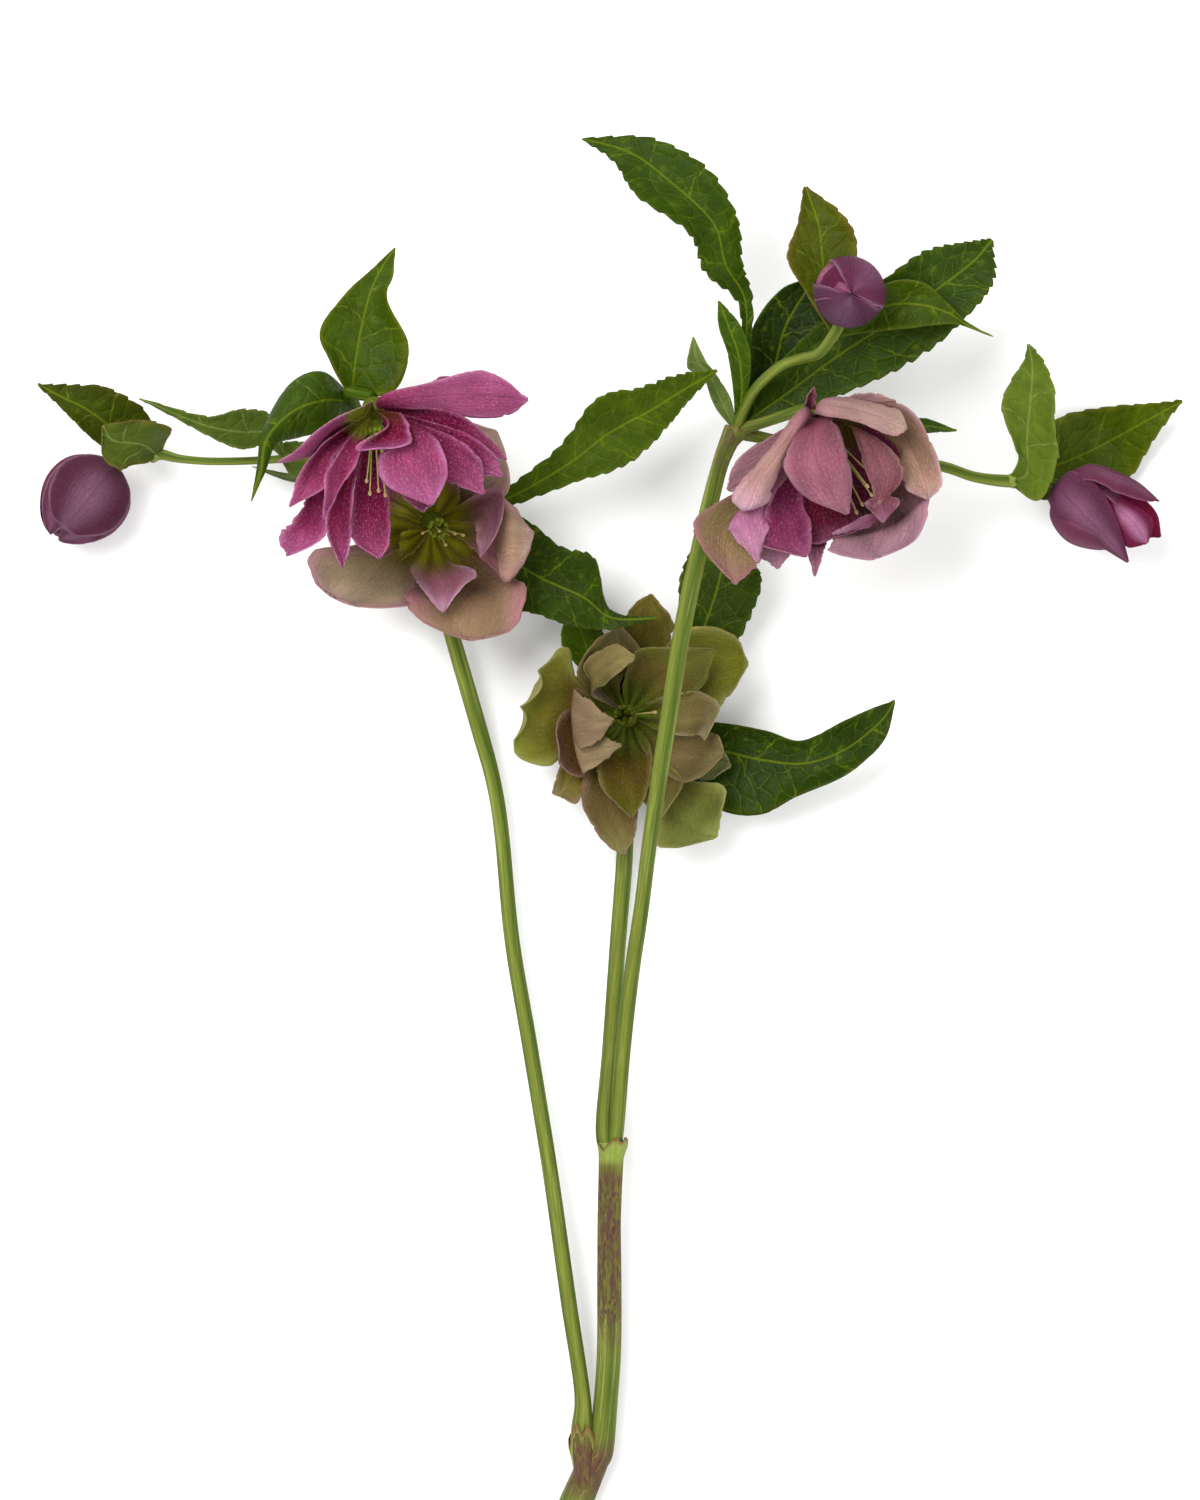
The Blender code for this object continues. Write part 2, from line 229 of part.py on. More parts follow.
# Leaves: foot (a point inside the stem), stations, tip, teeth depth, edge wave.
LEAVES = {
    "leaf_a": ((-127.4, 106.4, 17), [((-139, 106.8, 22), (-137, 112, 20), (-130, 118.5, 22)),
               ((-147, 112.5, 25), (-146, 118.5, 23), (-140, 124.5, 25)),
               ((-153.5, 119, 27), (-153, 122, 26), (-151, 125.6, 27))], (-160, 125.7, 28), 0.6, 0.6),
    "leaf_a2": ((-127.0, 106.2, 17.6), [((-134, 102.4, 29), (-131, 109, 26), (-122.5, 113.5, 30)),
                ((-141, 104, 31), (-139, 110, 29), (-132, 115.5, 31))], (-141.8, 114, 31), 0.5, 0.9),
    "leaf_b": ((-90.5, 105.1, 18.3), [((-96, 108.3, 22), (-95, 112, 21), (-94.3, 116.5, 23)),
               ((-104, 107.8, 26), (-104, 112.5, 24), (-102, 119, 26)),
               ((-115, 112.6, 29), (-114, 114.5, 28), (-113, 116.8, 29))], (-131.5, 121.6, 31), 0.5, 0.4),
    "leaf_e2": ((-77, 106, 16.4), [((-84, 99, 12), (-84, 104.5, 12.5), (-84, 109.5, 13)),
                ((-89.5, 100.5, 12), (-89.5, 105, 12), (-89.5, 110, 13))], (-93.5, 108.5, 13), 0.4, 0.3),
    "leaf_e3": ((-62.5, 104.8, 13.5), [((-77, 97.8, 8), (-77, 99, 8), (-77, 100.2, 8)),
                ((-90, 98.7, 9), (-90, 99.9, 9), (-90, 101.1, 9))], (-100.3, 102.9, 12), 0.0, 0.0),
    "leaf_c": ((-71.3, 120.2, 34), [((-77, 113, 42), (-79, 121, 45), (-80.5, 129, 43)),
               ((-86, 110.8, 44), (-88, 118, 48), (-90, 124.5, 44)),
               ((-93, 108.5, 44), (-95.3, 110.5, 46), (-96.7, 112, 43)),
               ((-96, 101, 42), (-97.3, 101.3, 43), (-98.5, 101.5, 42))], (-100, 92.7, 40), 0.0, 0.4),
    "leaf_d": ((-71.9, 122.8, 39.6), [((-77.5, 131, 45), (-71, 131, 42), (-59.5, 124, 45)),
               ((-80.8, 140, 46), (-69.5, 140, 42), (-56, 136, 46)),
               ((-75, 149, 45), (-67, 150, 43), (-62, 149, 46)),
               ((-67, 157, 43), (-64, 157, 42), (-60.4, 156, 44))], (-59.8, 163.6, 41), 0.2, 0.5),
    "leaf_f": ((-52.5, 88, 8.5), [((-41, 92.5, 11), (-40, 90.2, 10.5), (-39, 88, 11)),
               ((-29.5, 96.3, 17), (-28.3, 93.8, 16), (-27.3, 91.5, 17)),
               ((-14, 108.5, 25), (-12, 103, 23), (-9.5, 98.2, 25)),
               ((-3.5, 121.6, 31), (0, 112, 27), (5, 103.3, 31)),
               ((9, 125, 36), (12, 118.5, 33), (15.5, 113, 36)),
               ((19, 128.2, 41), (21, 124, 39), (22, 120.2, 41))], (30.2, 129.2, 45), 0.9, 0.7),
    "leaf_g": ((-50.4, 79, 8.2), [((-40, 85, 9.5), (-40, 80, 9), (-41, 74, 10)),
               ((-26, 88.8, 17), (-30, 77.5, 13), (-30, 64, 17)),
               ((-13.6, 80.2, 23), (-18, 71, 19), (-21, 61.4, 22)),
               ((-4.5, 77.2, 27), (-7, 66, 24), (-10, 57.8, 27)),
               ((0, 62.9, 31), (1, 60.3, 31), (1, 57.3, 31))], (13.6, 60.3, 34), 0.7, 0.7),
    "leaf_h": ((8, 33, 5), [((-9, 47, 7), (-4, 47, 6), (1, 49, 7)),
               ((-13.2, 53.5, 11), (-8, 57, 9), (-3, 59, 11))], (-11, 66, 14), 0.4, 0.4),
    "leaf_i": ((8, 33, 5), [((17, 50, 8), (22, 47, 6), (30, 46, 8)),
               ((19.3, 62, 12), (27.5, 60, 9), (38.7, 58.5, 12)),
               ((20.3, 73, 14), (31, 71, 11), (42.8, 70.5, 14)),
               ((26, 83, 16), (33, 82, 14), (40, 78, 16))], (36, 90, 18), 0.7, 0.5),
    "leaf_j": ((7.4, 26, 4.6), [((21, 31, 6), (20, 25, 5), (19, 17, 6)),
               ((33, 30.6, 10), (32, 23, 8), (30, 7, 10)),
               ((44, 28.6, 14), (43, 20.5, 11), (42, 4.9, 14)),
               ((54, 25.9, 17), (55, 19.5, 14), (52.5, 10, 17)),
               ((66, 31.4, 19), (66.5, 23.5, 16), (67, 16.6, 19)),
               ((75.5, 35.6, 21), (76, 31, 20), (77, 26, 21))], (80.2, 37, 21), 0.3, 1.0),
    "leaf_k": ((35.7, 113.0, 34), [((36.2, 127, 38), (37.5, 127.5, 37.5), (38.8, 128, 38)),
               ((36.3, 147, 39), (38.2, 148, 38), (40.2, 149, 39)),
               ((26.8, 156.5, 47), (32.5, 159, 44), (37.3, 159, 46)),
               ((22.5, 167.5, 51), (29, 170.5, 47), (36, 171.5, 50)),
               ((8, 177.5, 50), (17, 182, 47), (27.8, 185.5, 50)),
               ((1.5, 187, 47), (6, 190, 46), (12, 194, 47))], (-7.4, 194, 44), 1.1, 0.6),
    "leaf_l": ((35.6, 113.4, 34.6), [((34.8, 123, 41), (37, 123, 40.5), (38.8, 123.5, 41)),
               ((33.3, 133.5, 46), (36.3, 133, 44.5), (39.4, 134, 46)),
               ((30.5, 142, 48), (33.2, 142, 47), (36.3, 142.5, 48))], (30.6, 148.6, 47), 0.2, 0.3),
    "leaf_m": ((35.2, 113, 34), [((44.5, 127.5, 39), (49, 122.5, 36), (51, 117, 38)),
               ((58, 142, 42), (64, 133.5, 38), (69, 124.3, 41)),
               ((73, 152, 44), (79, 143, 40), (86.5, 132.8, 43)),
               ((87, 162, 44), (93, 153, 41), (101.5, 146, 44)),
               ((98, 165, 43), (102, 160, 42), (108, 155, 43))], (107, 165.8, 44), 1.0, 0.5),
    "leaf_n": ((36.2, 112.6, 33.4), [((39.3, 128, 33), (45, 127, 30.5), (50, 125, 32)),
               ((40.2, 141, 35), (49, 141, 32), (58, 137, 34)),
               ((48, 151.8, 36), (54, 150, 33), (62, 146, 35))], (58, 155.5, 35), 0.2, 0.4),
    "leaf_o": ((63, 139.6, 51.5), [((55, 151, 45.5), (61, 150, 44), (67, 153, 45.5)),
               ((49.8, 161, 46), (59.5, 161, 44), (69.3, 163, 46)),
               ((52.7, 171, 46), (58.5, 170, 44), (66, 172, 46))], (54.9, 180.6, 44), 0.4, 0.5),
    "leaf_p": ((63, 139.6, 51.5), [((76, 152.8, 50), (77, 147, 48), (74, 140, 50)),
               ((87, 153.8, 52), (87, 147.5, 50), (86, 141.2, 52)),
               ((94, 148.4, 51), (95, 145, 50), (95, 142.2, 51)),
               ((99.5, 143, 50), (99.3, 142.3, 50), (99, 141.5, 50))], (107.3, 138.6, 49), 0.2, 0.5),
    "leaf_q": ((35.2, 113, 34), [((29.5, 119.5, 36), (31.7, 120.3, 35), (34, 121.5, 36)),
               ((26.5, 127, 37), (28.3, 127.7, 36), (30, 128.2, 37)),
               ((22, 130.6, 38), (24.6, 132.3, 37), (27, 132, 38))], (23.5, 138.8, 38), 0.0, 0.2),
    "leaf_w": ((80, 104.3, 26), [((85.5, 115.8, 33), (86, 113.5, 32), (86.5, 111.2, 33))],
               (97.3, 112.7, 34), 0.0, 0.0),
    "leaf_x": ((112.6, 98.6, 23), [((114.8, 104.5, 30), (117.5, 101, 28), (120.5, 93.2, 30)),
               ((113.6, 108, 33), (117, 109, 31), (125.6, 104, 33)),
               ((110, 118.5, 36), (117.6, 118, 34), (124.8, 114.5, 36)),
               ((112, 126, 37), (118.3, 126, 36), (124.7, 124, 37)),
               ((115.9, 132, 38), (118.3, 131.7, 37), (121.7, 131.5, 38))], (117.2, 136.8, 38), 0.5, 0.4),
    "leaf_y": ((112.6, 98.6, 23), [((118, 106, 14), (119, 101, 13), (122, 93.5, 14)),
               ((126, 116.5, 6), (130, 105, 3), (134, 96, 5)),
               ((139, 119.7, 4.5), (140.5, 110, 0.3), (145.5, 99.3, 4.5)),
               ((151, 120.5, 9), (151.5, 116, 7), (154, 111.5, 9))], (161, 121.2, 12), 0.6, 0.3),
}

# Buds: centre, half length, half width, direction of the tip.
BUDS = {
    "bud_left": ((-147.7, 93.4, 12.25), 13.0, 12.6, (-0.62, -0.74, -0.05)),
    "bud_top": ((66.9, 150.7, 61.0), 10.6, 10.0, (0.05, -0.05, 1.0)),
}
BUD_RIGHT_BASE = (124.6, 95.5, 20.3)
BUD_RIGHT_AXIS = (0.868, -0.496, 0.0)

COLOURS = {
    "bloom_1": (0.48, 0.06, 0.24), "bloom_2": (0.45, 0.27, 0.20), "bloom_3": (0.20, 0.17, 0.05),
    "bloom_4": (0.50, 0.21, 0.25), "heart": (0.35, 0.38, 0.04), "bud": (0.26, 0.07, 0.13),
    "leaf": (0.07, 0.17, 0.01), "leaf_pale": (0.15, 0.24, 0.06), "stem": (0.26, 0.39, 0.08),
}
NARROW_LEAVES = ("leaf_e3", "leaf_q", "leaf_w", "leaf_l", "leaf_e2")
PALE_LEAVES = ("leaf_a2", "leaf_b", "leaf_q", "leaf_x", "leaf_e3")


def clear_scene():
    for obj in list(bpy.data.objects):
        bpy.data.objects.remove(obj)


def new_collection(name):
    coll = bpy.data.collections.new(name)
    bpy.context.scene.collection.children.link(coll)
    return coll


def material(name, colour, rough=0.55):
    mat = bpy.data.materials.new(name)
    mat.use_nodes = True
    shader = mat.node_tree.nodes["Principled BSDF"]
    shader.inputs["Base Color"].default_value = (*colour, 1.0)
    shader.inputs["Roughness"].default_value = rough
    shader.inputs["Metallic"].default_value = 0.0
    return mat


def add_object(name, mesh, coll):
    obj = bpy.data.objects.new(name, mesh)
    coll.objects.link(obj)
    return obj


def applied(obj):
    """The object with its modifiers and its placing turned into plain mesh."""
    bpy.context.view_layer.update()
    graph = bpy.context.evaluated_depsgraph_get()
    mesh = bpy.data.meshes.new_from_object(obj.evaluated_get(graph))
    mesh.transform(obj.matrix_world)
    obj.modifiers.clear()
    obj.data = mesh
    obj.matrix_world = Matrix.Identity(4)
    return obj


def main_body(obj):
    """Keep the largest connected shell: no loose chips and no closed hollows."""
    bm = bmesh.new()
    bm.from_mesh(obj.data)
    left = set(bm.faces)
    shells = []
    while left:
        shell = {left.pop()}
        rim = list(shell)
        while rim:
            near = {other for face in rim for edge in face.edges if len(edge.link_faces) == 2
                    for other in edge.link_faces} - shell
            shell |= near
            rim = list(near)
        left -= shell
        shells.append(shell)
    shells.sort(key=len)
    loose = [face for shell in shells[:-1] for face in shell]
    bmesh.ops.delete(bm, geom=loose, context='FACES')
    bm.to_mesh(obj.data)
    bm.free()
    return obj


def without_slivers(obj):
    """Pull together points a Boolean left almost on one another, and drop folded fins."""
    bm = bmesh.new()
    bm.from_mesh(obj.data)
    bmesh.ops.triangulate(bm, faces=bm.faces[:])
    bmesh.ops.remove_doubles(bm, verts=bm.verts[:], dist=WELD)
    fins = [face for face in bm.faces if any(len(edge.link_faces) == 1 for edge in face.edges)]
    while fins:
        bmesh.ops.delete(bm, geom=fins, context='FACES')
        fins = [face for face in bm.faces if any(len(edge.link_faces) == 1 for edge in face.edges)]
    bm.to_mesh(obj.data)
    bm.free()
    return main_body(obj)


def join_all(name, objects, coll, work):
    """One Boolean union of the objects; they are removed afterwards."""
    first = objects[0]
    group = bpy.data.collections.new(name + "_repeats")
    work.children.link(group)
    for other in objects[1:]:
        work.objects.unlink(other)
        group.objects.link(other)
    union = first.modifiers.new("Union", 'BOOLEAN')
    union.operation = 'UNION'
    union.operand_type = 'COLLECTION'
    union.collection = group
    union.solver = 'MANIFOLD'
    without_slivers(applied(first))
    for other in list(group.objects):
        bpy.data.objects.remove(other)
    bpy.data.collections.remove(group)
    work.objects.unlink(first)
    coll.objects.link(first)
    first.name = name
    return first


def cut_by(obj, cutter):
    cut = obj.modifiers.new("Cut", 'BOOLEAN')
    cut.operation = 'DIFFERENCE'
    cut.object = cutter
    cut.solver = 'MANIFOLD'
    return without_slivers(applied(obj))


def through(points, at):
    """A smooth line through the points, read at the given places from 0 to 1."""
    pts = np.asarray(points, dtype=float)
    ends = np.vstack([2 * pts[0] - pts[1], pts, 2 * pts[-1] - pts[-2]])
    where = np.clip(np.asarray(at, dtype=float), 0.0, 1.0) * (len(pts) - 1)
    seg = np.minimum(where.astype(int), len(pts) - 2)
    t = (where - seg)[:, None]
    p0, p1, p2, p3 = ends[seg], ends[seg + 1], ends[seg + 2], ends[seg + 3]
    return 0.5 * (2 * p1 + (p2 - p0) * t + (2 * p0 - 5 * p1 + 4 * p2 - p3) * t ** 2
                  + (3 * p1 - p0 - 3 * p2 + p3) * t ** 3)


def blade_lines(foot, stations, tip):
    """Left edge, middle and right edge of a blade from its foot to its tip."""
    left = [np.array(s[0], float) for s in stations]
    mid = [np.array(s[1], float) for s in stations]
    right = [np.array(s[2], float) for s in stations]
    foot = np.array(foot, float)
    tip = np.array(tip, float)
    left = [foot + CLAW * (left[0] - mid[0])] + left + [tip + TIP * (left[-1] - mid[-1])]
    right = [foot + CLAW * (right[0] - mid[0])] + right + [tip + TIP * (right[-1] - mid[-1])]
    return left, [foot] + mid + [tip], right


def blade_point(lines, u, v, wave, phase):
    """Points of the blade at u along it and v across it (-1 left edge, 1 right edge)."""
    left, mid, right = (through(line, u) for line in lines)
    v = v[:, None]
    point = mid + v * (right - left) / 2 + v ** 2 * ((left + right) / 2 - mid)
    across = right - left
    along = through(lines[1], u + 0.02) - through(lines[1], u - 0.02)
    normal = np.cross(across, along)
    normal /= np.linalg.norm(normal, axis=1)[:, None] + 1e-9
    swell = wave * np.abs(v[:, 0]) ** 2 * np.sin(math.pi * u) ** 0.5
    ripple = np.sin(2 * math.pi * 2.2 * u + phase + np.where(v[:, 0] > 0, 1.9, 0.0))
    return point + normal * (swell * ripple)[:, None]


def make_blade(name, foot, stations, tip, size, thick, coll, teeth=0.0, wave=0.0, phase=0.0):
    rows, columns = size
    lines = blade_lines(foot, stations, tip)
    bm = bmesh.new()
    bmesh.ops.create_grid(bm, x_segments=columns, y_segments=rows, size=1.0)
    bm.verts.ensure_lookup_table()
    v = np.array([vert.co.x for vert in bm.verts])
    u = np.array([(vert.co.y + 1) / 2 for vert in bm.verts])
    row = np.rint(u * rows).astype(int)
    notch = np.where((np.abs(v) > 0.99) & (row % 2 == 1) & (row > 1), 1.0, 0.0)
    width = np.linalg.norm(through(lines[2], u) - through(lines[0], u), axis=1)
    pull = 1 - notch * teeth / np.maximum(width / 2, teeth * 2)
    points = blade_point(lines, u, v * pull, wave, phase)
    for vert, point in zip(bm.verts, points):
        vert.co = Vector(point) * MM
    bmesh.ops.triangulate(bm, faces=bm.faces[:])
    mesh = bpy.data.meshes.new(name)
    bm.to_mesh(mesh)
    bm.free()
    obj = add_object(name, mesh, coll)
    solid = obj.modifiers.new("Thickness", 'SOLIDIFY')
    solid.thickness = thick * MM
    solid.offset = 0.0
    return applied(obj)


def make_tube(name, points, coll, extra=0.0, round_steps=1):
    """A round stem through the points, each with its own radius."""
    fine = through(points, np.linspace(0, 1, int(1.3 * len(points))))
    curve = bpy.data.curves.new(name, 'CURVE')
    curve.dimensions = '3D'
    spline = curve.splines.new('POLY')
    spline.points.add(len(fine) - 1)
    for point, at in zip(spline.points, fine):
        point.co = (at[0] * MM, at[1] * MM, at[2] * MM, 1.0)
        point.radius = (at[3] + extra) * MM
    curve.bevel_depth = 1.0
    curve.bevel_resolution = round_steps
    curve.use_fill_caps = True
    source = add_object(name + "_line", curve, coll)
    bpy.context.view_layer.update()
    graph = bpy.context.evaluated_depsgraph_get()
    mesh = bpy.data.meshes.new_from_object(source.evaluated_get(graph))
    bm = bmesh.new()
    bm.from_mesh(mesh)
    bmesh.ops.remove_doubles(bm, verts=bm.verts[:], dist=1e-6)
    bmesh.ops.recalc_face_normals(bm, faces=bm.faces[:])
    bm.to_mesh(mesh)
    bm.free()
    obj = add_object(name, mesh, coll)
    obj.matrix_world = source.matrix_world
    bpy.data.objects.remove(source)
    return obj


def turned(axis):
    return Vector(axis).to_track_quat('Z', 'Y').to_matrix().to_4x4()


def make_ball(name, centre, axis, radius, coll, segments=12, rings=7, stretch=1.0):
    bm = bmesh.new()
    bmesh.ops.create_uvsphere(bm, u_segments=segments, v_segments=rings, radius=radius * MM)
    bmesh.ops.scale(bm, vec=(1, 1, stretch), verts=bm.verts[:])
    mesh = bpy.data.meshes.new(name)
    bm.to_mesh(mesh)
    bm.free()
    mesh.transform(Matrix.Translation(Vector(centre) * MM) @ turned(axis))
    return add_object(name, mesh, coll)


def make_cone(name, foot, axis, length, wide, narrow, sides, coll):
    bm = bmesh.new()
    bmesh.ops.create_cone(bm, cap_ends=True, cap_tris=False, segments=sides, radius1=wide * MM,
                          radius2=narrow * MM, depth=length * MM)
    bmesh.ops.translate(bm, vec=(0, 0, length * MM / 2), verts=bm.verts[:])
    mesh = bpy.data.meshes.new(name)
    bm.to_mesh(mesh)
    bm.free()
    mesh.transform(Matrix.Translation(Vector(foot) * MM) @ turned(axis))
    return add_object(name, mesh, coll)


def make_bloom(name, petals, coll, work):
    """All petals of a flower and the knob they grow from, as one body."""
    centre, axis = FLOWERS[name]
    parts = [make_ball(name + "_knob", centre, axis, RECEPTACLE, work, 10, 6)]
    for i, (label, foot, stations, tip) in enumerate(petals):
        if foot is None:
            foot = Vector(centre) + (Vector(stations[0][1]) - Vector(centre)).normalized() * 1.6
        parts.append(make_blade(label, foot, stations, tip, PETAL_MESH[len(stations)],
                                PETAL_THICK, work, wave=0.5, phase=1.3 * i))
    bloom = join_all(name, parts, coll, work)
    axis = Vector(axis).normalized()
    room = make_cone(name + "_room", Vector(centre) + axis * RECEPTACLE, axis, 5.2, 2.5, 3.9, 10, work)
    bloom = cut_by(bloom, room)
    bpy.data.objects.remove(room)
    return bloom


def make_heart(name, coll, work):
    """Nectaries round the seed pods, and the stamens, on one small base."""
    centre, axis = FLOWERS[name]
    axis = Vector(axis).normalized()
    side = axis.cross(Vector((0.3, 0.2, 1.0))).normalized()
    other = axis.cross(side)
    base = Vector(centre) + axis * (RECEPTACLE + GAP)
    parts = [make_cone(name + "_base", base, axis, 2.2, 2.1, 1.8, 8, work)]
    for i in range(5):
        turn = 2 * math.pi * i / 5
        out = side * math.cos(turn) + other * math.sin(turn)
        parts.append(make_cone("nectary_%d" % i, base + axis * 0.9 + out * 0.9, axis + out * 0.5,
                               3.4, 0.6, 1.1, 5, work))
    for i in range(3):
        turn = 2 * math.pi * (i + 0.4) / 3
        out = side * math.cos(turn) + other * math.sin(turn)
        parts.append(make_cone("pod_%d" % i, base + axis * 1.0 + out * 0.7, axis + out * 0.15,
                               7.5, 1.0, 0.35, 5, work))
    for i, top in enumerate(STAMENS[name]):
        top = Vector(top)
        foot = base + axis * 1.0 + (top - base).cross(axis).cross(axis).normalized() * -1.0
        bend = foot.lerp(top, 0.5) + axis * 1.2
        way = (top - bend).normalized()
        parts.append(make_tube("filament_%d" % i, [(*p, 0.36) for p in (foot, bend, top)], work,
                               round_steps=0))
        parts.append(make_cone("anther_%d" % i, top - way * 0.7, way, 2.0, 0.8, 0.6, 4, work))
    return join_all(name + "_heart", parts, coll, work)


def make_closed_bud(name, coll, sepals=5):
    """An egg whose sepals overlap: each one's free edge stands up over the next."""
    centre, half, wide, axis = BUDS[name]
    bm = bmesh.new()
    bmesh.ops.create_uvsphere(bm, u_segments=20, v_segments=8, radius=1.0)
    for vert in bm.verts:
        height = vert.co.z
        round_at = math.atan2(vert.co.y, vert.co.x) / (2 * math.pi) + 0.5
        part = (round_at * sepals + 0.35 * height) % 1.0
        lift = 1.0 + 0.055 * (part - 0.5) * (1 - 0.35 * height ** 2)
        taper = 1.0 - 0.10 * height
        vert.co = (vert.co.x * wide * lift * taper * MM, vert.co.y * wide * lift * taper * MM,
                   height * half * (1 + 0.03 * part) * MM)
    bmesh.ops.triangulate(bm, faces=bm.faces[:])
    mesh = bpy.data.meshes.new(name)
    bm.to_mesh(mesh)
    bm.free()
    mesh.transform(Matrix.Translation(Vector(centre) * MM) @ turned(axis))
    return add_object(name, mesh, coll)


def make_open_bud(name, coll, work):
    """The half open bud: rolled inner petals and four sepals standing off at the tip."""
    base = Vector(BUD_RIGHT_BASE)
    axis = Vector(BUD_RIGHT_AXIS).normalized()
    side = Vector((-axis.y, axis.x, 0))
    up = axis.cross(side) * -1
    if up.z < 0:
        up = -up
    parts = [make_ball(name + "_foot", base + axis * 2.0, axis, 4.0, work, 8, 5),
             make_ball(name + "_roll", base + axis * 13.5, axis, 8.2, work, 12, 7, 1.5)]
    sepals = [("front", 215, 48, 10.9, 27.5, 3.0), ("upper", 75, 50, 10.7, 30.0, 2.2),
              ("under", 300, 46, 10.3, 27.0, 2.6), ("back", 150, 44, 10.0, 26.0, 2.0),
              ("inner", 10, 40, 9.4, 27.5, 2.4)]
    for label, middle, spread, wide, long, free in sepals:
        def ring(angle, along, radius):
            a = math.radians(angle)
            return base + axis * along + (side * math.cos(a) + up * math.sin(a)) * radius
        stations = [(ring(middle + s * spread, 0.27 * long, 0.86 * wide),
                     ring(middle, 0.25 * long, 0.9 * wide),
                     ring(middle - s * spread, 0.27 * long, 0.86 * wide)) for s in (1,)]
        stations.append((ring(middle + spread * 1.15, 0.55 * long, wide),
                         ring(middle, 0.56 * long, wide * 1.04),
                         ring(middle - spread * 1.15, 0.55 * long, wide)))
        stations.append((ring(middle + spread, 0.80 * long, wide * 0.72 + free * 0.4),
                         ring(middle, 0.82 * long, wide * 0.78 + free * 0.4),
                         ring(middle - spread, 0.80 * long, wide * 0.72 + free * 0.4)))
        tip = ring(middle, long, wide * 0.42 + free * 0.8)
        parts.append(make_blade(label, base + axis * 1.2, stations, tip, (4, 4), 0.9, work))
    return join_all(name, parts, coll, work)


def flatten_low(obj):
    """Cut off what lies under the table: the low point's flat spot."""
    bm = bmesh.new()
    bm.from_mesh(obj.data)
    cut = bmesh.ops.bisect_plane(bm, geom=bm.verts[:] + bm.edges[:] + bm.faces[:], dist=1e-7,
                                 plane_co=(0, 0, 0), plane_no=(0, 0, 1), clear_inner=True)
    rim = [e for e in cut["geom_cut"] if isinstance(e, bmesh.types.BMEdge)]
    if rim:
        bmesh.ops.holes_fill(bm, edges=rim)
        bmesh.ops.triangulate(bm, faces=bm.faces[:])
        bmesh.ops.recalc_face_normals(bm, faces=bm.faces[:])
    bm.to_mesh(obj.data)
    bm.free()


def finish(obj, mat, smooth=35):
    obj.data.materials.clear()
    obj.data.materials.append(mat)
    obj.data.shade_smooth()
    obj.data.set_sharp_from_angle(angle=math.radians(smooth))


def main():
    clear_scene()
    coll = new_collection("hellebore")
    work = new_collection("cutters")
    mats = {key: material(key, colour) for key, colour in COLOURS.items()}
    root = bpy.data.objects.new("hellebore_root", None)
    coll.objects.link(root)
    root.location = (CENTRE[0] * MM, CENTRE[1] * MM, 0)

    tubes = [make_tube(label, points, work) for label, points in STEMS]
    stem = join_all("stem", tubes, coll, work)
    finish(stem, mats["stem"])
    around = [make_tube(label + "_gap", points, work, GAP) for label, points in STEMS]
    cutter = join_all("stem_gap", around, work, work)

    made = [stem]
    for name, petals in (("bloom_1", BLOOM_1), ("bloom_2", BLOOM_2), ("bloom_3", BLOOM_3),
                         ("bloom_4", BLOOM_4)):
        bloom = cut_by(make_bloom(name, petals, coll, work), cutter)
        finish(bloom, mats[name])
        heart = make_heart(name, coll, work)
        finish(heart, mats["heart"])
        made += [bloom, heart]
    for i, (name, (foot, stations, tip, teeth, wave)) in enumerate(LEAVES.items()):
        size = TOOTHED_MESH if teeth > 0.4 and len(stations) > 2 else PLAIN_MESH
        if name in NARROW_LEAVES:
            size = NARROW_MESH
        leaf = make_blade(name, foot, stations, tip, size, LEAF_THICK, coll, teeth, wave, 0.9 * i)
        leaf = cut_by(leaf, cutter)
        finish(leaf, mats["leaf_pale" if name in PALE_LEAVES else "leaf"])
        made.append(leaf)
    buds = [make_closed_bud(name, coll) for name in BUDS]
    buds.append(make_open_bud("bud_right", coll, work))
    for bud in buds:
        finish(cut_by(bud, cutter), mats["bud"])
        made.append(bud)
    bpy.data.objects.remove(cutter)
    for obj in made:
        flatten_low(obj)
        obj.parent = root


main()
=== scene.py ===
# Looks for the hellebore: finer petals, leaves, buds, hearts and stems in place of the plain
# solids, the floor, the light and the camera. Lengths are millimetres unless a line says otherwise.
import math

import bpy
import numpy as np
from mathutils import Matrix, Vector


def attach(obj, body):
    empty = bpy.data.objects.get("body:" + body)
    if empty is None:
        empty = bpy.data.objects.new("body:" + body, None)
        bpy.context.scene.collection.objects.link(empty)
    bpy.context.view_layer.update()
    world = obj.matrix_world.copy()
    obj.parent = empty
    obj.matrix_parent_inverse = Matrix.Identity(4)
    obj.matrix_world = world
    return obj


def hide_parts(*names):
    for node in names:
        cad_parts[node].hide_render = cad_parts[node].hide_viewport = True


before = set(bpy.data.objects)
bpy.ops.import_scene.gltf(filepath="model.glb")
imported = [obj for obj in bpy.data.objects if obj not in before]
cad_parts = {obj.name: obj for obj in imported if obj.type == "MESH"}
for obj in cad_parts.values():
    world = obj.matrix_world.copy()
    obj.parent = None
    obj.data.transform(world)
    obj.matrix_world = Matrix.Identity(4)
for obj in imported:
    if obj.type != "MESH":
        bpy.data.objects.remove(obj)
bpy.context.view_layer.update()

MM = 0.001                   # one millimetre in the scene's metres
CM = 10.0                    # length of one unit of the texture place "Skin"
CLAW = 0.19                  # half width of a blade's foot as a part of its first station's
TIP = 0.07                   # half width of its tip as a part of its last station's
THICK = 0.7                  # petals and leaves
EDGE = 0.75                  # how rough a petal's edge is
FOOT_OUT = 1.6               # from a flower's centre to its petals' feet
RECEPTACLE = 3.6             # radius of the ball that the petals grow from
GAP = 0.35                   # between that ball and the heart
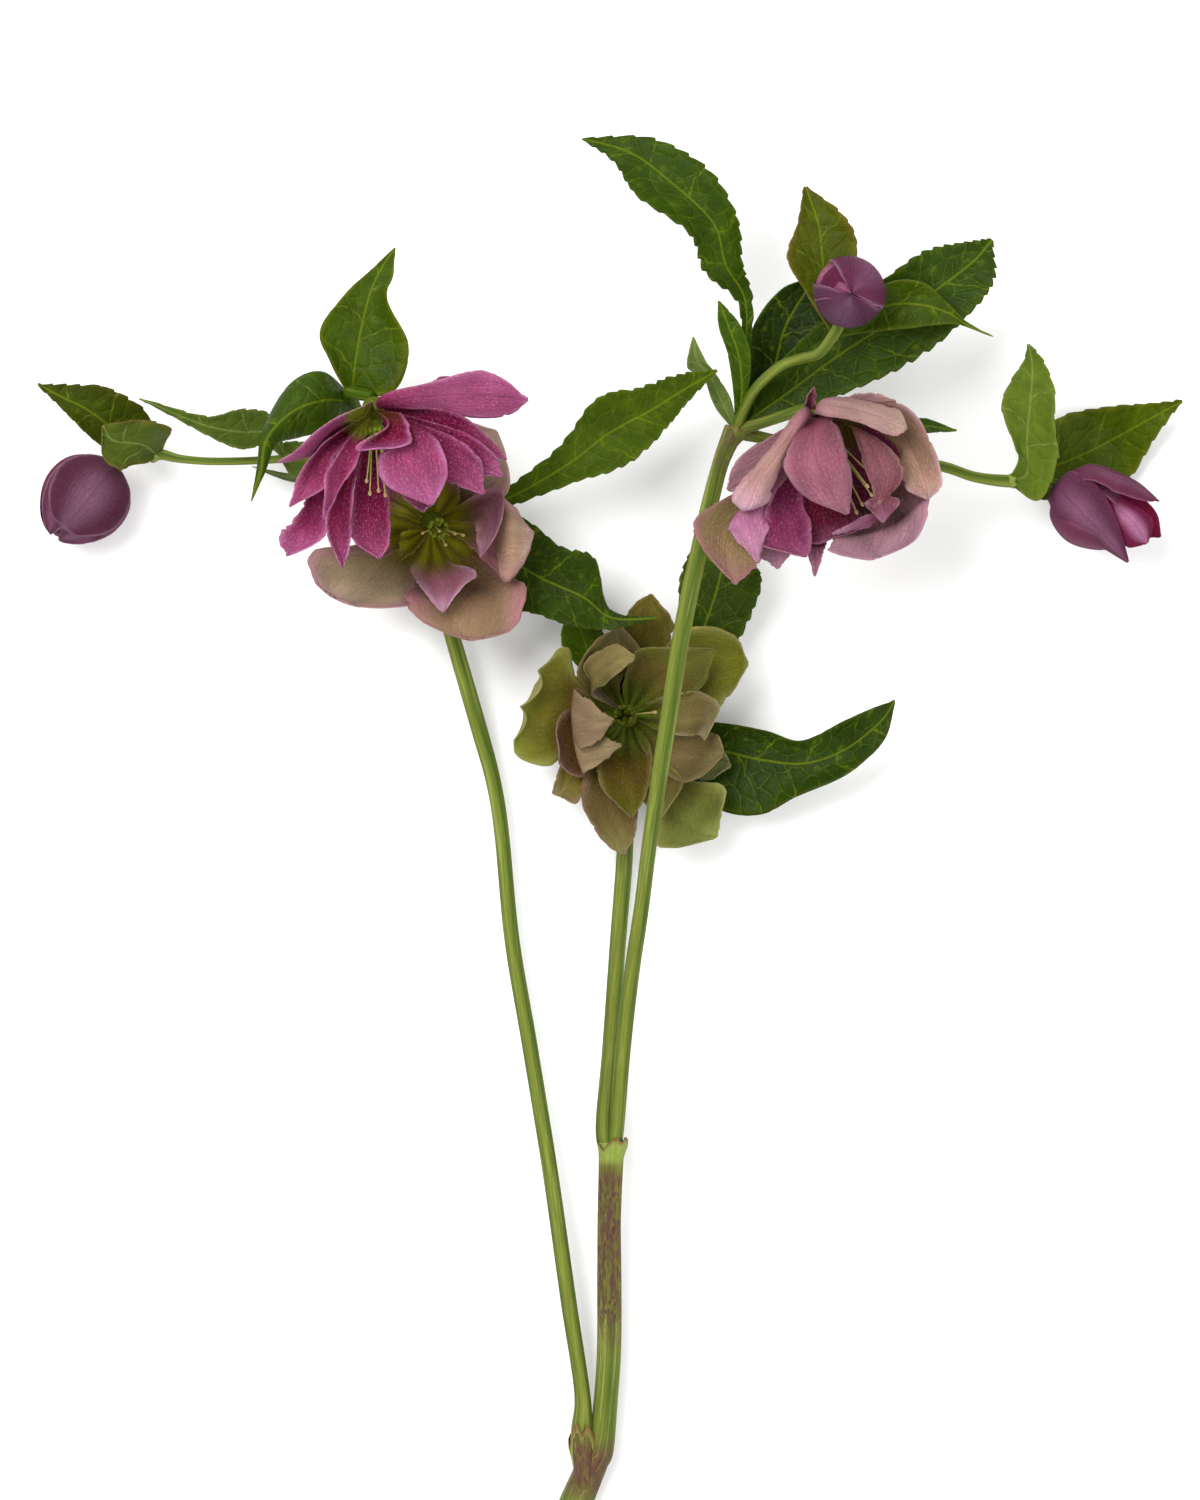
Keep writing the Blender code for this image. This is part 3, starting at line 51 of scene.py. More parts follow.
SHADE = 0.8                  # how much darker a surface's own colour is than it looks in this light
LOW_FORK = (-9, -177)        # x and y of the stem's lowest joint
HIGH_FORK = (35, 113)        # and of its highest
EYE = (-2.52, 23.24, 6000)   # the camera's place
EYE_PLANE = 30.0             # height of the plane that its lens is set for
EYE_SPAN = 420.0             # how much of that plane the picture's longer side shows
SENSOR = 36.0                # width of the camera's sensor


def read_rows(text):
    """{name: (colours, numbers, rows)} from a name with its colours and numbers, and under it rows
    of numbers."""
    table = {}
    for words in (line.split() for line in text.strip().split("\n")):
        if words[0][0].isalpha():
            codes, rows = [word for word in words if word[0] == "#"], []
            table[words[0]] = codes, [float(word) for word in words[1 + len(codes):]], rows
        else:
            rows.append([float(word) for word in words])
    return table


# Where each flower sits and which way it faces.
FLOWERS = {
    "bloom_1": ((-65.5, 118.5, 47.0), (0.05, -0.85, 0.50)),
    "bloom_2": ((-49.5, 87.0, 20.0), (0.20, -0.20, 0.95)),
    "bloom_3": ((5.0, 33.0, 13.0), (-0.10, 0.0, 1.0)),
    "bloom_4": ((57.5, 116.5, 45.0), (0.40, -0.65, 0.65)),
}

# Where the anthers of each flower stand.
STAMENS = {
    "bloom_1": [(-67.5, 98.5, 61), (-66.6, 95, 62), (-64.2, 95.8, 63), (-62.4, 94.6, 61),
                (-61.3, 97.4, 62)],
    "bloom_2": [(-41, 83.4, 36), (-43.2, 83.8, 37), (-45.8, 80.8, 35), (-47.5, 84.5, 38),
                (-52, 84, 36)],
    "bloom_3": [(12.6, 33.8, 27)],
    "bloom_4": [(73, 94.5, 60), (71.8, 97, 61), (70.4, 92, 58), (68.8, 89.8, 57), (74, 99, 60)],
}

# Round each flower's middle the petals' feet are green: middle, full within, gone beyond, colours.
ZONES = {
    "bloom_1": ((-68.8, 115.0), 4.0, 7.5, "#5c6408", "#8c921c"),
    "bloom_2": ((-50.0, 85.5), 8.5, 17.0, "#5a5404", "#868406"),
    "bloom_3": ((5.0, 32.5), 5.0, 17.0, "#2c3802", "#505c06"),
    "bloom_4": ((66.0, 112.0), 3.0, 8.0, "#44300a", "#5c4a10"),
}

# Stem pieces: x, y, z and radius of their points. Each starts inside the one it grows from.
STEMS = read_rows("""
main
-12 -195 3.85 4.7  -8.7 -186.8 4.3 4.6  -4.5 -177 6 4.2  -2.5 -173 7 3.8  -1.1 -161 8 3.4
0 -145 9 3.4  0.1 -125 10 3.4  0.1 -109 11 3.3  0.6 -93 12 3.5  0.8 -87 12.3 3.9
left
-7 -189 5.4 0.8  -7 -182 7.5 2.6  -7.6 -169 9.3 3.1  -7.6 -157 10 2.25  -11.5 -131 10 2.25
-16.4 -96.3 10 2.2  -22.2 -60.5 9 2.2  -27.3 -30.2 8 2.15  -30.2 -0.3 8 2.1  -32.6 14.6 8 2.15
-36.7 29.7 8 2.3  -44.2 55.7 8 2.2  -49 73 8 2.1  -52.5 88 8.5 2.3  -61 104 12 2  -69 115 25 1.9
-72.5 122.6 38 2  -69.8 122.7 42.5 1.8  -66.1 121.9 45 1.6
flower_2_stalk
-52.5 87.5 8.5 2  -50.4 88.1 12 1.9  -48.7 88.1 16.4 1.8
left_branch
-62 105.5 13 1.4  -75 106 16 1.2  -86 105.5 18 1.15  -96 104.6 18.5 1.1  -110 104.2 18.5 1.1
-120 104.9 17.5 1.15  -127.4 106.4 17 1.6  -134 104.8 15.5 1.2  -139 101.6 14 1.2
middle
1.6 -90 12 2.2  -1.5 -84.3 11.5 2.3  0.3 -60.8 8.5 2.3  2.5 -30.2 6 2.3  4.1 -10.4 4.8 2.35
5 5 4.4 2.3  7 20 4.4 2.3  8 33 5 2.6  6 34.5 7 2.2  5.3 33.3 9.6 1.9
right
0.6 -90 12.2 2.2  1.9 -84.3 13.4 2.2  3.9 -60.5 18 2.2  6.2 -40.3 24 2.2  9.1 -20.4 31 2.15
11.6 -0.3 37 2.15  16.2 29.7 42 2.4  20.7 58 43 2.45  25.6 80.9 40 2.4  28.3 92.4 38 2.4
31.4 103.9 35.5 2.35  35.2 113 34 3
bud_top_stalk
34.9 112 34 1.9  40.3 123.2 41.5 1.5  47.6 130.2 47 1.5  53.2 132.4 49 1.5  58.7 134.1 50 1.55
63 139.6 51.5 1.6  65.6 144.5 53 1.6
right_branch
34.9 112.3 34 2  46 110 31 1.6  60 107 28 1.5  78 104.5 26 1.5  92.7 102.8 26 1.5
102.7 99.7 24.5 1.5  112.6 98.6 23 1.8  119 99.6 22.5 1.4  125.5 97.8 21 1.4
flower_4_stalk
35 112.5 34 2  43 114.8 37.5 1.6  50 117 40 1.6  55.2 118.6 42.4 1.6
""")

# Petals. A named row gives the colours of the petal's foot, middle, tip and edge as read off,
# where its outside is seen too the same four of that side, then its tip, then its foot where that
# isn't at the flower's centre. The rows under it are its stations: left edge, middle, right edge.
BLOOMS = {name: read_rows(text) for name, text in {
"bloom_1": """
top_left #4f5208 #98406b #a04b77 #be7ca7  -92.1 103.3 62
-68.2 111.4 50  -68.2 116 52  -66.3 119.8 60
-74.2 108.9 50  -76.3 112.4 56  -75.2 116.4 66
-81.3 105.5 52  -83 106.3 60  -84.6 108.6 68
top_right #8e2755 #a8527e #9c4873 #bd769f  -22.5 120.6 75
-63.2 122 58  -61.4 120.3 58  -60.3 118.6 55
-51.4 125.4 67  -50.5 121.9 64  -49 118.3 59
-38.5 128.4 76  -39.1 122.4 69  -40.1 115.9 62
-29.4 126.1 77  -29.4 121.6 73  -28.5 116.6 68
behind_top #7d1644 #ad5e8b #b56c93 #c581a9  -40.8 127.1 62
-48.5 126.4 60  -46.1 125.6 57  -44.6 124.5 54
right_1 #5e042f #7b0f41 #9a486d #ad648f  -28.5 104.1 60
-48.5 118.5 60  -49.5 116.4 57  -50.5 114.1 56
-37 113.6 63  -38.8 110.9 60  -40.8 108.5 59
right_2 #6f0a38 #831c4a #9c527c #b06c95  -29.7 99.4 64
-44 113 63  -45.5 110.9 61  -46.5 107.9 60
-32.8 106.4 66  -36.1 103.7 64  -40.6 100.8 63
right_3 #700d37 #8c305b #964971 #b06d95  -34.9 94.5 67
-44.5 110.8 66  -47.5 107.9 63  -48.5 104.7 62
-36.1 104.3 69  -40.3 101.4 66  -45.3 98.2 65
front_right #73163f #943d66 #a0547e #b5739f  -49.5 91.4 74
-49.9 111.5 71  -54.9 111.3 67  -58.4 108.6 66
-45.4 104.8 75  -54.2 104 70  -64.5 104.9 67
-45.4 98 76  -53.2 97.7 72  -61.9 96.9 69
below_right #86284f #934266 #874869 #ad6c93  -52 89.6 58
-50 94.6 58  -54.3 94.9 54  -59 96.3 52
small_inner #60250f #7d0c3b #a4527e #ce7eb2  -62.7 107.1 71
-57.2 116.3 69  -59.9 115 62  -61.5 114.3 66
-55.5 112.2 72  -60.6 110.8 64  -65.8 110.5 69
-55 108.5 74  -61.8 107.8 67  -70.2 107.2 71
lower_middle #6f0a35 #7b1643 #98486d #ad638d  -64 76.6 57
-63.3 102.1 49  -67 102.4 46  -70.1 100.6 50
-61.2 92.1 55  -66.5 91.2 50.5  -71.8 90.7 55
-61 82.2 58  -65.9 81 55  -71.4 82 58
lower_narrow #6d092f #871f4c #9c4f77 #bb75a1  -74.2 74.2 61
-70.3 100.7 57  -72.9 99.3 54  -75.3 96.6 58
-71.5 90.1 60  -75.3 89 55  -79 87.1 60
-71.9 81.2 60  -74.8 80 57  -77.4 80 61
left_folded #730935 #96315d #a84f7b #bd77a1  -79.5 87.5 69
-69.1 106.4 60  -72.8 106.1 62  -76 105.1 67
-74.4 96.5 63  -76.6 96.5 63  -79.1 95.7 69
far_left #790d3d #98315d #b15583 #bd77a1  -89 91 61
-76.3 105 58  -79.1 107.2 56  -77.4 110.3 61
-79.4 96.6 59  -83 98.3 57  -85.6 101.2 61
lower_left #6f0931 #96305f #b3618f #c381ab  -89.8 77.3 57
-77.5 97.3 52  -80.4 96.7 49  -83.3 95.9 52
-79 89.4 54  -82.5 88.4 50  -86.2 88.7 54
-79.5 82.4 57  -85.3 81.3 53  -92 83 57
""",
"bloom_2": """
left #5c4a12 #9c8a6c #b49c90 #a87088  -77.8 66.3 32
-51.8 72.4 23  -61.6 76.6 20  -69.7 81 24
-55.1 64 28  -68.7 69.2 26  -83.4 78.3 30
-68.1 63.2 32  -75.4 65.8 30  -82.6 70.5 32
bottom #463402 #866a50 #9e8664 #a06878  -38.6 53.8 33
-30.9 74.4 24  -43.8 71.6 21  -54.6 70.6 25
-23.4 68.3 30  -38.8 65.1 27  -56.1 65 31
-27.3 57.2 33  -39.6 56 31  -51.9 58.8 32
bottom_inner #5a3418 #84505c #9c667c #bc96aa  -46.6 61.8 36
-44.8 76.3 27  -49.8 76.4 23  -55.3 74.3 26
-36.8 73.2 39  -46 71.3 31  -53.7 69.5 31
-40.9 68.7 37  -45.9 66.5 34  -50.5 66.1 33
right_inner #583418 #7e4e58 #946476 #a87a86  -35.5 77.5 43
-39.6 93 32  -40.8 90 27  -41.8 87.3 30
-30.5 96.9 41  -34 91.4 36  -37.5 86.2 38
-29.8 87.3 42  -33.2 84.2 39  -37.2 81.2 41
right #5c4608 #a4846c #bca48e #b8848e  -21.1 83.9 31
-36.8 93.5 26  -36.4 87.5 22  -36.8 80.5 24
-29.4 93.2 33  -28.6 84.4 37  -29.5 71.5 33
-24.3 88 33  -24 82.4 35  -23.9 75 33
right_low #664030 #885a60 #80504e #905a60  -29.4 71.3 31
-35.3 87.5 28  -37.3 84.5 24  -39.6 81 26
-30 79.5 33  -31.8 77.3 32  -34.8 76.3 34
b2_top_right #54380e #a68e7c #bca494 #b49088  -31.5 112.5 37
-50 98 24  -43 96 21  -37 92 25
-47 109 33  -38 104 30  -29 95 33
-40 114.6 36  -34 110 34  -28.3 104 36
top_inner #433300 #5c4410 #80405a #80405a  -43 103 35
-50 97 28  -46 95 24  -42 92 27
left_inner #4e4602 #5c4c10 #77555a #8a4a66  -73 85 33
-58 80 25  -58 86 22  -58 92 25
-66 77 30  -67 85 28  -66 94 30
b2_top_left #523d05 #803850 #803850 #8a4a66  -65 110 34
-62 90.5 25  -58 97 23  -50 100 25
-70 97 31  -63 105 30  -53 111 32
left_low_inner #524005 #605008 #645410 #6e5c28  -57.9 76.5 29
-52.7 81 30  -55.3 82 26  -58.2 83.5 28
""",
"bloom_3": """
left_torn #54380c #68641c #7e8834 #8e924e  -25.1 35.1 24
-9.8 25.1 16  -10.5 33.5 14  -8.1 42.4 16
-16.5 19.1 20  -18.6 33.5 17  -12.2 52.1 20
-26.1 22.1 23  -24.2 32.6 21  -20.1 45.8 24
left_low #453701 #6e6420 #86784c #8f7c5c  -15.8 11 17
-3 18 15  -7 21 13  -11 24 15
-8.5 9 17  -12 13 15  -14.5 16 17
b3_bottom #3a2c02 #66562c #86804a #8c7060  4 -6.2 18
9 20 16  3 19 13  -6 21 16
8 5 19  1 6 15  -7.2 8 18
7 -1 20  3 -2 17  -1.8 -2 19
b3_bottom_right #4a4006 #6e7430 #7e8642 #949458  30 -1.4 19
21.8 15.8 15  18.1 12.9 13  14.3 9.7 15
31.9 13 18  23.7 6.2 14  12.6 -1.1 17
31.7 5.5 20  25.5 -0.1 17  16.6 -4.4 19
right_behind #4a5208 #6e7a2e #76784c #80845c  34.2 18.5 15
17 32 12  16 28 11  15 23 12
31 24 14  29 20 13  26 15 14
upper_right #312800 #6e6e24 #70741c #948f58  39 47.5 24
9 41 16  11 37 14  12 33 16
20 56.6 21  24 47 17  27 33 20
34 56 24  35 47.5 21  34.8 40 23
b3_right #3a3002 #786a3c #948a66 #988c66  27 26.3 28
12 37 19  13 33 17  13 29 19
24 40 24  23 33 20  22 27 23
31 35.5 27  28 31.5 25  25 27.5 26
b3_right_low #3a2e02 #70603a #7c7046 #80704e  32 22 22
13 29 17  12 26 15  10 23 17
26 28.5 21  23 22.5 17  18 15 20
31 27 23  28 21.5 20  24.5 14.8 22
upper_right_inner #2c2601 #5a4c1c #686828 #707434  29.3 51.4 29
4 42 20  9 41 17  13 37 19
9 51.5 26  17 46 22  25.5 40.5 24
top #342a01 #5c5418 #6c6224 #7c6c40  11.8 66.9 23
0 42 15  6 43 13  11 41 15
3 57 20  10 56 16  18 56 19
6.5 63.6 22  11 62 20  16.9 61 22
upper_left #3c2c02 #6a6030 #706640 #86764a  3 58 24
-8.5 43 18  -3 43 16  3 42 18
-5 52.5 23  1 51.5 19  9 51 22
upper_left_curled #332601 #7a6c40 #8a7c4c #8a7c50  7.3 49.3 31
-7 46 21  -5 42.5 18.5  -4.5 39 21
1 53 27  0.5 47.5 26  -0.5 42 28
left_curled #3c2c04 #7a6440 #86704c #8c7854  1.4 31.7 31
-8.5 24 21  -10 32 18  -9 40.5 21
-3.5 25.5 28  -5 31 28  -5 36.5 28
left_curled_low #402c02 #7c6a40 #8c7c50 #8e7e56  3.5 24.7 27
-7 17.5 20  -9 23.5 18  -9.5 29 20
-2 20 24  -3 23.5 24.5  -1.5 27 25.5
left_brown #3f2802 #4c3412 #76584a #8c705c  -14 19.5 22
-7 16 18  -11 24 16  -13 34 19
lower_inner #342a01 #50400a #5e5a14 #7c7240  6.5 4.2 23
12 24 18  5 22 15  -3 22 18
11 13 22  5 12 19  -2 13 22
lower_right_inner #443100 #5a481c #76723c #86823e  15 4.5 21
14 22 17  11 19 15  9 17 17
20.5 14.5 21  15.5 11 18  10 9 20
""",
"bloom_4": """
top_hook #80484c #804a5a #784450 #94606e  57.1 124.6 52
54.5 119.2 51  56.1 120 49  57.9 119.8 51
left_front #6c3038 #8e4a5c #8a4a60 #a87080 #986070 #b08a80 #c49eac #b07c8e  37.3 89.8 62
53.8 118.3 56  54.7 116.8 60  55.6 115.3 57
45.6 108.6 59  48.5 107.8 64  51.3 108.1 60
37.4 99.2 60  41.6 98 65  46.3 98 61
34.3 93.3 60  39.1 91.7 64  44.3 92.3 61
left_behind #8a4458 #a06a7c #98647a #a87888  33 95.8 56
46 111.3 52  48 106 50  50 100 52
35.5 104 54  39 99 53  43 94 54
b4_left_low #5c4a1c #847048 #9a7468 #a06878  34.9 69.5 54
46.2 91.9 50  43.2 95.2 49  40.2 98.8 51
42.2 76.5 52  33.8 84.4 51  26.1 89.6 54
39.7 73.3 52  32.5 75.3 52  24.5 82.4 55
left_light #8a3a5c #b07294 #b4809a #bc8ca6  41.4 75.4 60
44.9 91.8 57  40.2 91.3 58  35.6 89.1 57
44.1 84.4 58  39.6 83.4 60  34.5 83.2 58
magenta #5a0c30 #7c2c52 #904a6c #a06080  54.6 77 58
53.1 94.3 53  49.6 94.5 52  46.3 95.5 54
54.6 86.4 57  49.6 85.6 54  44.6 86.4 57
54.9 79.9 58  49.6 79.6 56  43.7 80.2 58
front #5a1c34 #7c3a50 #84485c #9c6878 #7c3c48 #94586a #926070 #b08090  66.3 88.8 69
53 112.6 60  57.1 112.2 64  62 116 62
48.4 102.9 66  57.4 104.8 71  65.8 107.8 66
54.1 94 67  61.8 94.9 71  67.6 98.6 67
right_inner4 #5c1c34 #7c3a50 #84485c #b08878 #6c3a3a #825058 #7c4a52 #b49480  75.2 91.6 62
67.3 113.3 56  69.4 112.3 58  72.1 112.1 56
70.6 103.2 60  74.8 103.6 63  79.8 105.4 59
73 97 62  76.9 97.2 63  82.1 99.4 60
top_fold #6a3a2c #8c6450 #986c60 #a87c74 #a07078 #ae8c86 #b09a86 #b08088  83 112.8 68
58.9 116.7 64  59.1 119 62  59.6 120.9 56
68.8 114.1 68  69.2 117.6 66  69.7 121.1 59
79.4 110.8 69  79.6 114.3 68  79.9 118 62
b4_right #5a3c14 #a08068 #b8968a #be9aa2  88.9 93 61
79.8 120.1 54  79.4 113.2 50  78.9 106.8 51
88.5 111.6 59  85 106.7 54  81 102.3 54
92.6 98.7 62  88.3 97.2 58  82.8 96.1 57
top_behind #7a4440 #a07878 #a48078 #b08c8c  80 120.5 53
68 122 51  69 119 49  70 116 48
74 122.8 53  75 120 51  76 117 50
b4_bottom_right #503310 #a47a86 #b08698 #b08494  73.3 76.2 60
85.3 95.8 51  76 89.9 46  67.5 87.2 48
89.2 92.8 57  76.9 83.9 52  62.5 82.4 55
84.9 81.6 61  74.8 78.4 57  61.8 78.2 58
bottom_narrow #4c1c28 #8a5066 #946076 #a0708a  57.4 71.7 55
60.3 85.4 50  57.4 85.5 49  54.7 84.4 50
60.2 79.4 54  57.5 78.7 53  54.9 80.2 54
bottom_ragged #6a1434 #885068 #a07488 #b48c98  47 73.8 52
52 95 47  48 95 46  43 95 48
52 82 51  46 82 50  38 82 51
star_tip #6e3c40 #7c4858 #946478 #b48c98  76.3 86.6 60.5  76.4 94.2 62
80.9 92.5 60.5  76.5 90.8 61.5  71.4 91.9 60.5
deep_magenta #4c0420 #600828 #8a4a66 #986078  59.5 81 55
65 95.2 51  59.6 95.2 49  54.1 94.8 51
68.9 86.4 54  61 84.9 52  53.6 82.4 53
bottom_fold #7a2a48 #98607a #a47890 #b890a2  62.2 83.5 57.5  79.9 90.5 48.7
70.9 85 54.5  70.7 86.9 57  71.3 88.5 57.5
inner_dark #3c2c08 #56102c #5a0428 #6c1c40  77.4 91.4 52
72 114.2 50  67 109.3 48  61 102.3 50
80.9 105.3 52  74.9 99.8 50  67 92.4 51
"""
}.items()}

# Petals whose edges are rougher than EDGE, and petals wider than their stations.
ROUGH = {"left": 1.4, "bottom": 1.9, "bottom_inner": 1.5, "right": 1.3, "lower_left": 1.2,
         "b4_left_low": 1.5, "b4_bottom_right": 1.4, "left_light": 1.1, "bottom_ragged": 1.6,
         "b3_bottom_right": 1.3, "left_front": 1.1}
SWELL = {"magenta": 1.6, "deep_magenta": 1.6}

# Leaves: colours of the face and the edge, foot (a point inside the stem), tip, depth of the teeth
# and height of the edge's waves; then stations as above.
# leaf_n's very dark green, darker than leaf_m beside it, is painted shade.
LEAVES = read_rows("""
leaf_a #3a4601 #464403  -127.4 106.4 17  -160 125.7 28  0.6 0.6
-139 106.8 22  -137 112 20  -130 118.5 22
-147 112.5 25  -146 118.5 23  -140 124.5 25
-153.5 119 27  -153 122 26  -151 125.6 27
leaf_a2 #4a5914 #61511a  -127 106.2 17.6  -141.8 114 31  0.5 0.9
-134 102.4 29  -131 109 26  -122.5 113.5 30
-141 104 31  -139 110 29  -132 115.5 31
leaf_b #4d601b #697633  -90.5 105.1 18.3  -131.5 121.6 31  0.5 0.4
-96 108.3 22  -95 112 21  -94.3 116.5 23
-104 107.8 26  -104 112.5 24  -102 119 26
-115 112.6 29  -114 114.5 28  -113 116.8 29
leaf_e2 #62772e #758840  -77 106 16.4  -93.5 108.5 13  0.4 0.3
-84 99 12  -84 104.5 12.5  -84 109.5 13
-89.5 100.5 12  -89.5 105 12  -89.5 110 13
leaf_e3 #55673b #6b7f4a  -62.5 104.8 13.5  -100.3 102.9 12  0 0
-77 97.8 8  -77 99 8  -77 100.2 8
-90 98.7 9  -90 99.9 9  -90 101.1 9
leaf_c #344c03 #425808  -71.3 120.2 34  -100 92.7 40  0 0.4
-77 113 42  -79 121 45  -80.5 129 43
-86 110.8 44  -88 118 48  -90 124.5 44
-93 108.5 44  -95.3 110.5 46  -96.7 112 43
-96 101 42  -97.3 101.3 43  -98.5 101.5 42
leaf_d #3c5201 #5d6607  -71.9 122.8 39.6  -59.8 163.6 41  0.2 0.5
-77.5 131 45  -71 131 42  -59.5 124 45
-80.8 140 46  -69.5 140 42  -56 136 46
-75 149 45  -67 150 43  -62 149 46
-67 157 43  -64 157 42  -60.4 156 44
leaf_f #3f5403 #4c5f0c  -52.5 88 8.5  30.2 129.2 45  0.9 0.7
-41 92.5 11  -40 90.2 10.5  -39 88 11
-29.5 96.3 17  -28.3 93.8 16  -27.3 91.5 17
-14 108.5 25  -12 103 23  -9.5 98.2 25
-3.5 121.6 31  0 112 27  5 103.3 31
9 125 36  12 118.5 33  15.5 113 36
19 128.2 41  21 124 39  22 120.2 41
leaf_g #283c01 #2f4202  -50.4 79 8.2  13.6 60.3 34  0.7 0.7
-40 85 9.5  -40 80 9  -41 74 10
-26 88.8 17  -30 77.5 13  -30 64 17
-13.6 80.2 23  -18 71 19  -21 61.4 22
-4.5 77.2 27  -7 66 24  -10 57.8 27
0 62.9 31  1 60.3 31  1 57.3 31
leaf_h #4a640a #53710f  8 33 5  -11 66 14  0.4 0.4
-9 47 7  -4 47 6  1 49 7
-13.2 53.5 11  -8 57 9  -3 59 11
leaf_i #2e4102 #3a4c04  8 33 5  36 90 18  0.7 0.5
17 50 8  22 47 6  30 46 8
19.3 62 12  27.5 60 9  38.7 58.5 12
20.3 73 14  31 71 11  42.8 70.5 14
26 83 16  33 82 14  40 78 16
leaf_j #263b01 #364702  7.4 26 4.6  80.2 37 21  0.3 1
21 31 6  20 25 5  19 17 6
33 30.6 10  32 23 8  30 7 10
44 28.6 14  43 20.5 11  42 4.9 14
54 25.9 17  55 19.5 14  52.5 10 17
66 31.4 19  66.5 23.5 16  67 16.6 19
75.5 35.6 21  76 31 20  77 26 21
leaf_k #304701 #374c03  35.7 113 34  -7.4 194 44  1.1 0.6
36.2 127 38  37.5 127.5 37.5  38.8 128 38
36.3 147 39  38.2 148 38  40.2 149 39
26.8 156.5 47  32.5 159 44  37.3 159 46
22.5 167.5 51  29 170.5 47  36 171.5 50
8 177.5 50  17 182 47  27.8 185.5 50
1.5 187 47  6 190 46  12 194 47
leaf_l #354f02 #466312  35.6 113.4 34.6  30.6 148.6 47  0.2 0.3
34.8 123 41  37 123 40.5  38.8 123.5 41
33.3 133.5 46  36.3 133 44.5  39.4 134 46
30.5 142 48  33.2 142 47  36.3 142.5 48
leaf_m #2c4301 #3e5202  35.2 113 34  107 165.8 44  1 0.5
44.5 127.5 39  49 122.5 36  51 117 38
58 142 42  64 133.5 38  69 124.3 41
73 152 44  79 143 40  86.5 132.8 43
87 162 44  93 153 41  101.5 146 44
98 165 43  102 160 42  108 155 43
leaf_n #1d3201 #334d02  36.2 112.6 33.4  58 155.5 35  0.2 0.4
39.3 128 33  45 127 30.5  50 125 32
40.2 141 35  49 141 32  58 137 34
48 151.8 36  54 150 33  62 146 35
leaf_o #4a5303 #71581e  63 139.6 51.5  54.9 180.6 44  0.4 0.5
55 151 45.5  61 150 44  67 153 45.5
49.8 161 46  59.5 161 44  69.3 163 46
52.7 171 46  58.5 170 44  66 172 46
leaf_p #384d02 #52600c  63 139.6 51.5  107.3 138.6 49  0.2 0.5
76 152.8 50  77 147 48  74 140 50
87 153.8 52  87 147.5 50  86 141.2 52
94 148.4 51  95 145 50  95 142.2 51
99.5 143 50  99.3 142.3 50  99 141.5 50
leaf_q #637637 #748746  35.2 113 34  23.5 138.8 38  0 0.2
29.5 119.5 36  31.7 120.3 35  34 121.5 36
26.5 127 37  28.3 127.7 36  30 128.2 37
22 130.6 38  24.6 132.3 37  27 132 38
leaf_w #334d17 #465b23  80 104.3 26  97.3 112.7 34  0 0
85.5 115.8 33  86 113.5 32  86.5 111.2 33
leaf_x #596d18 #6d7a2a  112.6 98.6 23  117.2 136.8 38  0.5 0.4
114.8 104.5 30  117.5 101 28  120.5 93.2 30
113.6 108 33  117 109 31  125.6 104 33
110 118.5 36  117.6 118 34  124.8 114.5 36
112 126 37  118.3 126 36  124.7 124 37
115.9 132 38  118.3 131.7 37  121.7 131.5 38
leaf_y #465704 #606312  112.6 98.6 23  161 121.2 12  0.6 0.3
118 106 14  119 101 13  122 93.5 14
126 116.5 6  130 105 3  134 96 5
139 119.7 4.5  140.5 110 0.3  145.5 99.3 4.5
151 120.5 9  151.5 116 7  154 111.5 9
""")
PALE_LEAVES = ("leaf_a2", "leaf_b", "leaf_q", "leaf_x", "leaf_e3")

# Closed buds: centre, half length, half width, direction of the tip.
BUDS = {
    "bud_left": ((-147.7, 93.4, 12.25), 13.0, 12.6, (-0.62, -0.74, -0.05)),
    "bud_top": ((66.9, 150.7, 61.0), 10.6, 10.0, (0.05, -0.05, 1.0)),
}

# Their sepals, the lower ones first: turn, width, end, lift, colours (body, middle, rim; the lighter
# middle is a painted highlight), bluntness.
SEPALS = {
    "bud_left": [(180, 62, 0.92, 0.0, ("#54162e", "#622040", "#7c2c4c"), 4),
                 (120, 60, 0.94, 0.1, ("#5e0a2e", "#701438", "#86345a"), 5),
                 (-118, 58, 0.93, 0.1, ("#56203a", "#6a3450", "#7c4660"), 4),
                 (66, 48, 0.93, 0.1, ("#5a0a2c", "#6e1438", "#8c4666"), 6),
                 (24, 40, 0.95, 0.35, ("#643048", "#784a62", "#a88496"), 3),
                 (-36, 48, 0.90, 0.3, ("#643450", "#785068", "#94687e"), 3),
                 (-6, 66, 0.73, 0.75, ("#54263a", "#724e62", "#906a7e"), 4)],
    "bud_top": [(190, 60, 0.9, -0.4, ("#643046", "#744056", "#925e7a"), 9),
                (7, 52, 1.0, 0.0, ("#6a2e4c", "#965a74", "#a86c88"), 30),
                (114, 84, 1.0, 0.25, ("#583048", "#6c4a62", "#8c6078"), 30),
                (-88, 73, 1.04, 0.5, ("#602c46", "#744660", "#98708a"), 20)],
}
